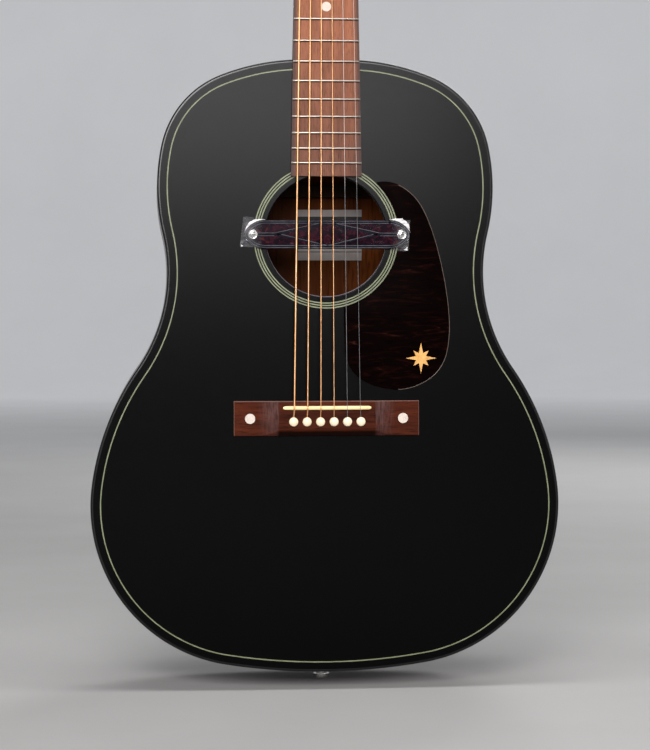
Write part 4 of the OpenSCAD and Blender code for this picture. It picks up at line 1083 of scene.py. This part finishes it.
def pickup_screws():
    """Cross-head screws on cupped washers."""
    build = Build()
    for side in (-1, 1):
        centre = (PICKUP_X + side * SCREW_X, PICKUP_FACE, PICKUP_Z)
        build.lathe(centre, (0, -1, 0), [(3.8, -0.05), (3.9, 0.25), (3.5, 0.6), (2.9, 0.45),
                                         (2.85, 0.8), (2.6, 1.25), (1.8, 1.6), (0.8, 1.7),
                                         (0.4, 1.3)], 40)
        build.lathe(centre, (0, 1, 0), [(1.3, 0.0), (1.3, 3.2)], 20)
    build.finish("pickup_screws_turned", M["nickel"], slot="nickel",
                 replaces=["pickup_screws"], smooth=40)
    # Painted shade: black bars stand in for the shadowed cross slots of the screw heads
    slots = Build()
    for side in (-1, 1):
        x = PICKUP_X + side * SCREW_X
        for wide, tall in ((1.7, 0.32), (0.32, 1.7)):
            slots.box((x - wide, PICKUP_FACE - 1.79, PICKUP_Z - tall),
                      (x + wide, PICKUP_FACE - 1.3, PICKUP_Z + tall))
    slots.finish("pickup_screw_slot_shade", M["black_plastic"], slot="black_plastic")


pickup_screws()


def film():
    """Crumpled film over the pickup: flat in the middle, lifted and creased at the corners."""
    corners = [Vector((-70.5, 14.5)), Vector((69.5, 12.0)), Vector((68.0, -14.0)),
               Vector((-73.5, -10.5))]
    columns, rows = 150, 34
    build = Build()
    for i in range(columns + 1):
        u = i / columns
        for k in range(rows + 1):
            v = k / rows
            top = corners[0].lerp(corners[1], u)
            bottom = corners[3].lerp(corners[2], u)
            p = bottom.lerp(top, v)
            edge = max(abs(2 * u - 1) ** 10, abs(2 * v - 1) ** 6)
            end = abs(2 * u - 1) ** 6
            wave = noise.noise(Vector((p.x * 0.16, p.y * 0.22, 3.0)))
            fold = noise.noise(Vector((p.x * 0.45, p.y * 0.6, 9.0)))
            lift = 0.25 + edge * 0.5 + end * (1.3 * abs(wave) + 0.8 * abs(fold)) \
                + 0.12 * abs(fold)
            screw = min(hypot(p.x - SCREW_X, p.y), hypot(p.x + SCREW_X, p.y))
            if screw < 7.0:
                lift = max(lift, 1.95 - 0.1 * screw)
            ragged = 0.6 * edge * fold
            build.verts.append((PICKUP_X + p.x, PICKUP_FACE - min(lift, 3.0),
                                PICKUP_Z + p.y + ragged))
    build.grid(columns + 1, rows + 1)
    build.finish("pickup_film_crumpled", M["film"], slot="clear_film",
                 replaces=["pickup_film"], smooth=60)


film()


def film_folds():
    """Painted glints: whitish turned-up folds of the film along the upper end curves and at two
    corners.
    """
    build = Build()
    loop = [(x - PICKUP_X, z - PICKUP_Z) for x, z in pickup_loop()]
    for side, widest in ((-1, 2.4), (1, 4.2)):
        arc = sorted(((abs(x), z) for x, z in loop if x * side > 50 and z > 1.0),
                     key=lambda p: p[0])
        rings = []
        for k, (x, z) in enumerate(arc):
            t = k / (len(arc) - 1)
            width = (0.3 + widest * sin(pi * min(1.0, 1.15 * t ** 1.3))) * (
                0.85 + 0.3 * noise.noise(Vector((k * 0.9, side, 5.0))))
            out = Vector((x - 42.0, z * 2.2)).normalized()
            near = Vector((x, z)) + out * 0.2
            far = Vector((x, z)) + out * (0.2 + width)
            rings.append([(PICKUP_X + side * near.x, PICKUP_FACE - 0.9, PICKUP_Z + near.y),
                          (PICKUP_X + side * (near.x + far.x) / 2, PICKUP_FACE - 1.3,
                           PICKUP_Z + (near.y + far.y) / 2),
                          (PICKUP_X + side * far.x, PICKUP_FACE - 0.7, PICKUP_Z + far.y)])
        build.rings(rings, close_ring=False)
    for corner, reach in (((66.8, -12.6), 3.0), ((-72.0, -9.6), 1.6)):
        x, z = PICKUP_X + corner[0], PICKUP_Z + corner[1]
        away = copysign(1.0, corner[0])
        build.rings([[(x - away * reach, PICKUP_FACE - 0.8, z - 0.2),
                      (x - away * reach * 0.4, PICKUP_FACE - 1.2, z + reach * 0.25)],
                     [(x + away * 0.4, PICKUP_FACE - 0.9, z - 0.9),
                      (x + away * 0.5, PICKUP_FACE - 1.4, z + reach * 0.75)]], close_ring=False)
    build.finish("pickup_film_folds", M["film_painted_glint"], slot="clear_film",
                 replaces=["pickup_film"], smooth=60)


film_folds()

# ---- frets

BOARD_END_HALF = (BOARD_HIGH.x - BOARD_LOW.x) / 2
NUT_HALF = (NUT_HIGH.x - NUT_LOW.x) / 2
FRETS = 20
FRET_SHADOW_WIDTH = 0.7
CROWN_HALF = 0.7
CROWN_DROP = 0.45
BOARD_TOP = FRONT - 6.0


def board_half(z):
    t = (z - BOARD_LOW.z) / (NUT_Z - BOARD_LOW.z)
    return BOARD_END_HALF + (NUT_HALF - BOARD_END_HALF) * t


def fret_z(n):
    return NUT_Z - SCALE_LENGTH * (1 - 2 ** (-n / 12))


def fret_wires():
    """Domed wires across the curved board, each with a painted shadow strip along its lower side.
    """
    wires, shadow_strips = Build(), Build()
    for n in range(1, FRETS + 1):
        z = fret_z(n) - CROWN_DROP
        half = board_half(fret_z(n)) - 0.15
        rings = []
        for x in spread(-half, half, 24):
            end = min(1.0, (half - abs(x)) / 0.9 + 0.15)
            base = BOARD_TOP + crown_drop(x) + 0.05
            rings.append([(x, base - end * sin(t) ** 0.8, z + CROWN_HALF * cos(t))
                          for t in arc(0, 180, 9)])
        wires.rings(rings, caps=True)
        # Painted shadow: a dark strip on the board just below each fret
        low = z - CROWN_HALF - FRET_SHADOW_WIDTH
        high = low + FRET_SHADOW_WIDTH + 0.1
        rings = []
        for x in spread(0.25 - half, half - 0.25, 24):
            y = BOARD_TOP + crown_drop(x)
            rings.append([(x, y - 0.05, low), (x, y - 0.05, high), (x, y + 0.2, high),
                          (x, y + 0.2, low)])
        shadow_strips.rings(rings, caps=True)
    shadow_strips.finish("fret_painted_shadows", M["fret_shadow"], slot="walnut", smooth=30)
    wires.finish("fret_wires", M["fret_wire"], slot="fret_wire", replaces=["frets"], smooth=60)


fret_wires()

# ---- strings

STRING_RADII = [0.69, 0.53, 0.41, 0.32, 0.20, 0.15]
WOUND = 4
NUT_SPREAD = 35.8
SADDLE_SPREAD = 55.3
NUT_STRING = 7.6
POST_RADIUS = 3.15
COIL_Y = -6.4


def on_head(x, depth, height):
    """Headstock frame (x, depth under the face, height over the nut) to the row frame."""
    return (x, FRONT + depth * cos(HEAD_TILT) + height * sin(HEAD_TILT),
            HEAD_Z - depth * sin(HEAD_TILT) + height * cos(HEAD_TILT))


def post_side(i):
    return -1 if i < 3 else 1


def post_row(i):
    return i if i < 3 else 5 - i


def post_x(i):
    return post_side(i) * (21 + 1.6 * post_row(i))


def post_z(i):
    return 47 + 38 * post_row(i)


def string_x(i, z):
    return (i - 2.5) / 5 * (NUT_SPREAD + (SADDLE_SPREAD - NUT_SPREAD)
                            * (NUT_Z - z) / SCALE_LENGTH)


def string_path(i):
    r = STRING_RADII[i]
    pin = pin_x(i)
    at_saddle = string_x(i, SADDLE_Z)
    at_nut = string_x(i, NUT_Z)
    crest = FRONT - SADDLE_CREST + crown_drop(at_saddle) - r
    nut_y = FRONT - NUT_STRING + crown_drop(at_nut)
    post = on_head(post_x(i) - post_side(i) * (POST_RADIUS + r), COIL_Y, post_z(i) - 1.0)
    return [(pin, FRONT + 6, PIN_Z + 3.2), (pin, FRONT - BRIDGE_TOP - 0.2, PIN_Z + 3.3),
            (pin, FRONT - BRIDGE_TOP - 0.9, PIN_Z + 4.0),
            (at_saddle, crest + 0.15, SADDLE_Z - 1.2), (at_saddle, crest, SADDLE_Z),
            (at_saddle, crest + 0.05, SADDLE_Z + 1.2),
            (at_nut, nut_y, NUT_Z), (at_nut, nut_y, HEAD_Z - 0.8),
            (at_nut + (post[0] - at_nut) * 0.03, nut_y + 0.1, HEAD_Z), post]


def strings():
    wound, plain = Build(), Build()
    for i in range(6):
        build = wound if i < WOUND else plain
        build.tube(string_path(i), STRING_RADII[i], 14)
        build.lathe((pin_x(i) - 2, FRONT + 7.4, PIN_Z + 4.4), (1, 0, 0),
                    [(0.8, 0), (1.9, 0.2), (1.5, 2.0), (1.9, 3.8), (0.8, 4.0)], 18)
    wound.finish("strings_wound", M["bronze"], slot="bronze", replaces=["strings"], smooth=60)
    plain.finish("strings_plain", M["plain"], slot="bronze", replaces=["strings"], smooth=60)


strings()

# ---- neck and headstock

HEEL_HEIGHT = 74.0
HEEL_DEPTH = 100.0
NECK_DEPTH_HEEL = 18.0
NECK_DEPTH_NUT = 15.0
HEAD_THICKNESS = 15.0
HEAD_LENGTH = 178.0
HEAD_BLEND = 27.0
HEEL_GAP = 6.0


def neck_depth(z):
    t = (z - BODY_LENGTH) / HEEL_HEIGHT
    extra = 0.0 if t >= 1 else (HEEL_DEPTH - NECK_DEPTH_HEEL - HEEL_GAP) * (1 - t) ** 2.3
    along = (z - BODY_LENGTH) / (NUT_Z - BODY_LENGTH)
    return NECK_DEPTH_HEEL + (NECK_DEPTH_NUT - NECK_DEPTH_HEEL) * along + extra


def neck_ring(z, top_y, half, depth, fullness):
    ring = []
    for k in range(41):
        t = pi * k / 40
        c, s = cos(t), sin(t)
        ring.append((half * copysign(abs(c) ** (2 / fullness), c),
                     top_y + depth * abs(s) ** (2 / fullness), z))
    return ring


def head_loop():
    right = [(25, 22), (30.5, 44), (34, 78), (36.8, 120), (38.6, HEAD_LENGTH - 18),
             (37, HEAD_LENGTH - 8), (31, HEAD_LENGTH - 2), (20, HEAD_LENGTH - 1),
             (8, HEAD_LENGTH + 3)]
    return right + [(0, HEAD_LENGTH + 4)] + [(-x, z) for x, z in reversed(right)]


def neck():
    build = Build()
    rings = []
    for k in range(31):
        t = k / 30
        z = BODY_LENGTH + 0.1 + HEEL_HEIGHT * t
        rings.append(neck_ring(z, FRONT, board_half(z), neck_depth(z), 2 + 0.4 * t))
    for k in range(1, 13):
        z = BODY_LENGTH + HEEL_HEIGHT + (NUT_Z - BODY_LENGTH - HEEL_HEIGHT) * k / 12
        rings.append(neck_ring(z, FRONT, board_half(z), neck_depth(z), 2.4))
    for k in range(13):
        t = k / 12
        z = HEAD_Z + HEAD_BLEND * t
        full = HEAD_THICKNESS / cos(HEAD_TILT)
        rings.append(neck_ring(z, FRONT + HEAD_BLEND * t * tan(HEAD_TILT) + 0.2 * t,
                               NUT_HALF + 3.4 * t * t,
                               NECK_DEPTH_NUT + (full - NECK_DEPTH_NUT - 0.6) * t
                               + 2.4 * sin(pi * t), 2.4 + 7 * t * t))
    build.rings(rings, caps=True)
    bevelled_plate(build, head_loop(), -HEAD_THICKNESS, 0.0, 1.0,
                   place=lambda x, y, z: on_head(x, -y, z))
    build.finish("neck_carved", M["mahogany"], slot="mahogany", replaces=["neck"],
                 smooth=40)


neck()

# ---- tuner buttons and posts

GEAR_Y = HEAD_THICKNESS + 3.2
WORM_OFFSET = 8.65
KNOB_START = 20.5
GEAR_RADIUS = 5.2
GEAR_TEETH = 14
WORM_LENGTH = 9.0


def tuner_point(i, x, y, z):
    """Tuner frame (X out to the button, Y down the post) to the row frame."""
    return on_head(post_x(i) + post_side(i) * x, y, post_z(i) + z)


def tuner_axis(i, x, y, z):
    a = Vector(tuner_point(i, 0, 0, 0))
    return Vector(tuner_point(i, x, y, z)) - a


def knob_button(i):
    """Rounded keystone button of cream plastic on a nickel collar."""
    outline_right = [(0, 3.6), (2.5, 4.2), (6.5, 7.6), (11, 9.2), (15.5, 8.6), (18.2, 5.6),
                     (18.9, 0)]
    loop = outline_right + [(x, -z) for x, z in reversed(outline_right[:-1])]
    loop = smooth_loop(loop, 5)
    rings = []
    for t in spread(-1, 1, 12):
        inset = 2.6 * (1 - sqrt(max(0.0, 1 - (abs(t) ** 3.2))))
        ring = inset_loop(loop, min(inset, 2.5))
        rings.append([tuner_point(i, KNOB_START + x, GEAR_Y + 1 + 3.1 * t, z - WORM_OFFSET)
                      for x, z in ring])
    capped(f"tuner_button_{i + 1}", rings, M["button"], body=f"knob_{i + 1}",
           slot="cream_plastic", smooth=50)


def knob_shaft(i):
    build = Build()
    origin = tuner_point(i, 0, GEAR_Y + 1, -WORM_OFFSET)
    axis = tuner_axis(i, 1, 0, 0)
    profile = [(1.2, -6), (1.8, -5.6), (1.8, 11.4), (3.0, 11.6), (3.0, 13.6), (1.9, 13.9),
               (1.9, 17.5), (2.6, 18.2), (3.9, 20.2), (3.6, 21.2)]
    build.lathe(origin, axis, profile, 28)
    side = tuner_axis(i, 0, 1, 0)
    up = tuner_axis(i, 0, 0, 1)
    helix = []
    pitch = 2 * pi * GEAR_RADIUS / GEAR_TEETH
    turns = WORM_LENGTH / pitch
    steps = int(turns * 24)
    for k in range(steps + 1):
        t = 2 * pi * turns * k / steps
        p = Vector(origin) + axis * (WORM_LENGTH * k / steps - WORM_LENGTH / 2) \
            + (side * cos(t) + up * sin(t)) * 1.85
        helix.append(tuple(p))
    build.tube(helix, 0.62, 8)
    build.finish(f"tuner_worm_{i + 1}", M["tuner_nickel"], body=f"knob_{i + 1}",
                 slot="tuner_nickel", replaces=[f"tuner_knob_{i + 1}"], smooth=45)


def post_winding(i):
    """Turns of the string wound on its post, riding with the post."""
    r = STRING_RADII[i]
    turns = 3
    path = []
    axis = tuner_axis(i, 0, 1, 0)
    side = tuner_axis(i, -1, 0, 0)
    up = tuner_axis(i, 0, 0, 1)
    origin = Vector(tuner_point(i, 0, COIL_Y, 0))
    for k in range(turns * 24 + 1):
        t = 2 * pi * k / 24
        path.append(tuple(origin + axis * ((k / 24 - turns / 2) * 2.05 * r)
                          + (side * cos(t) + up * sin(t)) * (POST_RADIUS + r)))
    build = Build()
    build.tube(path, r, 10)
    material = M["bronze"] if i < WOUND else M["plain"]
    build.finish(f"string_winding_{i + 1}", material, body=f"post_{i + 1}",
                 slot="bronze", smooth=60)


for i in range(6):
    knob_button(i)
    knob_shaft(i)
    post_winding(i)

# ---- stage, light and camera

FLOOR_RADIUS = 6500.0
CURVE = 1500.0
WALL_TOP = 5200.0
WALL_GLOW = 0.36
GLOW_START = 1.2  # metres from the middle


def studio():
    """Pale round floor that curves up into a plain wall, both glowing softly far out."""
    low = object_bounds()[0][2] / MM - 1.0
    profile = [(r, low) for r in (1.0, 1500.0, 4000.0, FLOOR_RADIUS)]
    profile += [(FLOOR_RADIUS + CURVE * sin(t), low + CURVE * (1 - cos(t)))
                for t in arc(7.5, 90, 11)]
    profile.append((FLOOR_RADIUS + CURVE, low + WALL_TOP))
    paper = surface("pale_paper", [(0.44, 0.435, 0.43), (0.48, 0.475, 0.47)], 3.0, (0.8, 0.9),
                    (0.02, 0.1), specular=0.1)
    f = Finish(material=paper)
    away = f.node("VectorMath", {0: f.coords((1, 1, 0))}, "Value", operation="LENGTH")
    f.look(glow=f.span(away, GLOW_START, FLOOR_RADIUS * MM, 0.0, WALL_GLOW),
           glow_color=(0.94, 0.96, 1.0))
    rings = [[(r * cos(t), r * sin(t), z) for t in arc(0, 355, 71)] for r, z in profile]
    build = Build()
    build.rings(rings)
    build.finish("studio_sweep", paper, on_stage=True, smooth=60)


studio()


def area_light(name, location, target, size, energy, color=(1, 1, 1)):
    data = bpy.data.lights.new(name, "AREA")
    data.shape = "RECTANGLE"
    data.size, data.size_y = size
    data.energy = energy
    data.color = color
    obj = bpy.data.objects.new(name, data)
    bpy.context.scene.collection.objects.link(obj)
    obj.location = location
    direction = Vector(target) - Vector(location)
    obj.rotation_euler = direction.to_track_quat("-Z", "Y").to_euler()


area_light("key_softbox", (-0.5, -2.35, 1.38), (0, 0, 0.35), (0.9, 0.6), 26, (1, 0.985, 0.97))
area_light("low_softbox", (-0.17, -2.35, 0.79), (0, 0, 0.45), (1.3, 0.45), 31, (1, 0.97, 0.985))
area_light("overhead_strip", (0.0, -0.35, 1.9), (0, -0.06, 0.4), (1.8, 0.5), 16)
area_light("rim_right", (1.7, -0.4, 0.9), (0, 0, 0.3), (0.5, 1.6), 4)
area_light("back_softbox", (1.2, 2.6, 1.9), (0, 0, 0.45), (1.4, 0.9), 40)

world = bpy.data.worlds.new("studio")
bpy.context.scene.world = world
world.use_nodes = True
world.node_tree.nodes["Background"].inputs["Color"].default_value = (0.62, 0.63, 0.66, 1)
world.node_tree.nodes["Background"].inputs["Strength"].default_value = 0.05

CAMERA_AT = Vector((-146.4, -1793.44 + FRONT, 300.6)) * MM
CAMERA_YAW = radians(4.63)
CAMERA_PITCH = radians(-1.59)
CAMERA_ROLL = radians(-0.10)
FOCAL_PIXELS = 2141.4
IMAGE_HEIGHT = 750.0
SENSOR_WIDTH = 36.0

camera_data = bpy.data.cameras.new("camera")
camera_data.sensor_fit = "AUTO"
camera_data.sensor_width = SENSOR_WIDTH
camera_data.lens = FOCAL_PIXELS * SENSOR_WIDTH / IMAGE_HEIGHT
camera_data.clip_end = 60.0
camera = bpy.data.objects.new("camera", camera_data)
bpy.context.scene.collection.objects.link(camera)
forward = Vector((sin(CAMERA_YAW) * cos(CAMERA_PITCH),
                  cos(CAMERA_YAW) * cos(CAMERA_PITCH), sin(CAMERA_PITCH)))
right = Vector((cos(CAMERA_YAW), -sin(CAMERA_YAW), 0))
upward = right.cross(forward)
right, upward = (right * cos(CAMERA_ROLL) + upward * sin(CAMERA_ROLL),
                 upward * cos(CAMERA_ROLL) - right * sin(CAMERA_ROLL))
camera.matrix_world = Matrix((
    (right.x, upward.x, -forward.x, CAMERA_AT.x),
    (right.y, upward.y, -forward.y, CAMERA_AT.y),
    (right.z, upward.z, -forward.z, CAMERA_AT.z),
    (0, 0, 0, 1)))
bpy.context.scene.camera = camera

bpy.context.scene.view_settings.view_transform = "Standard"
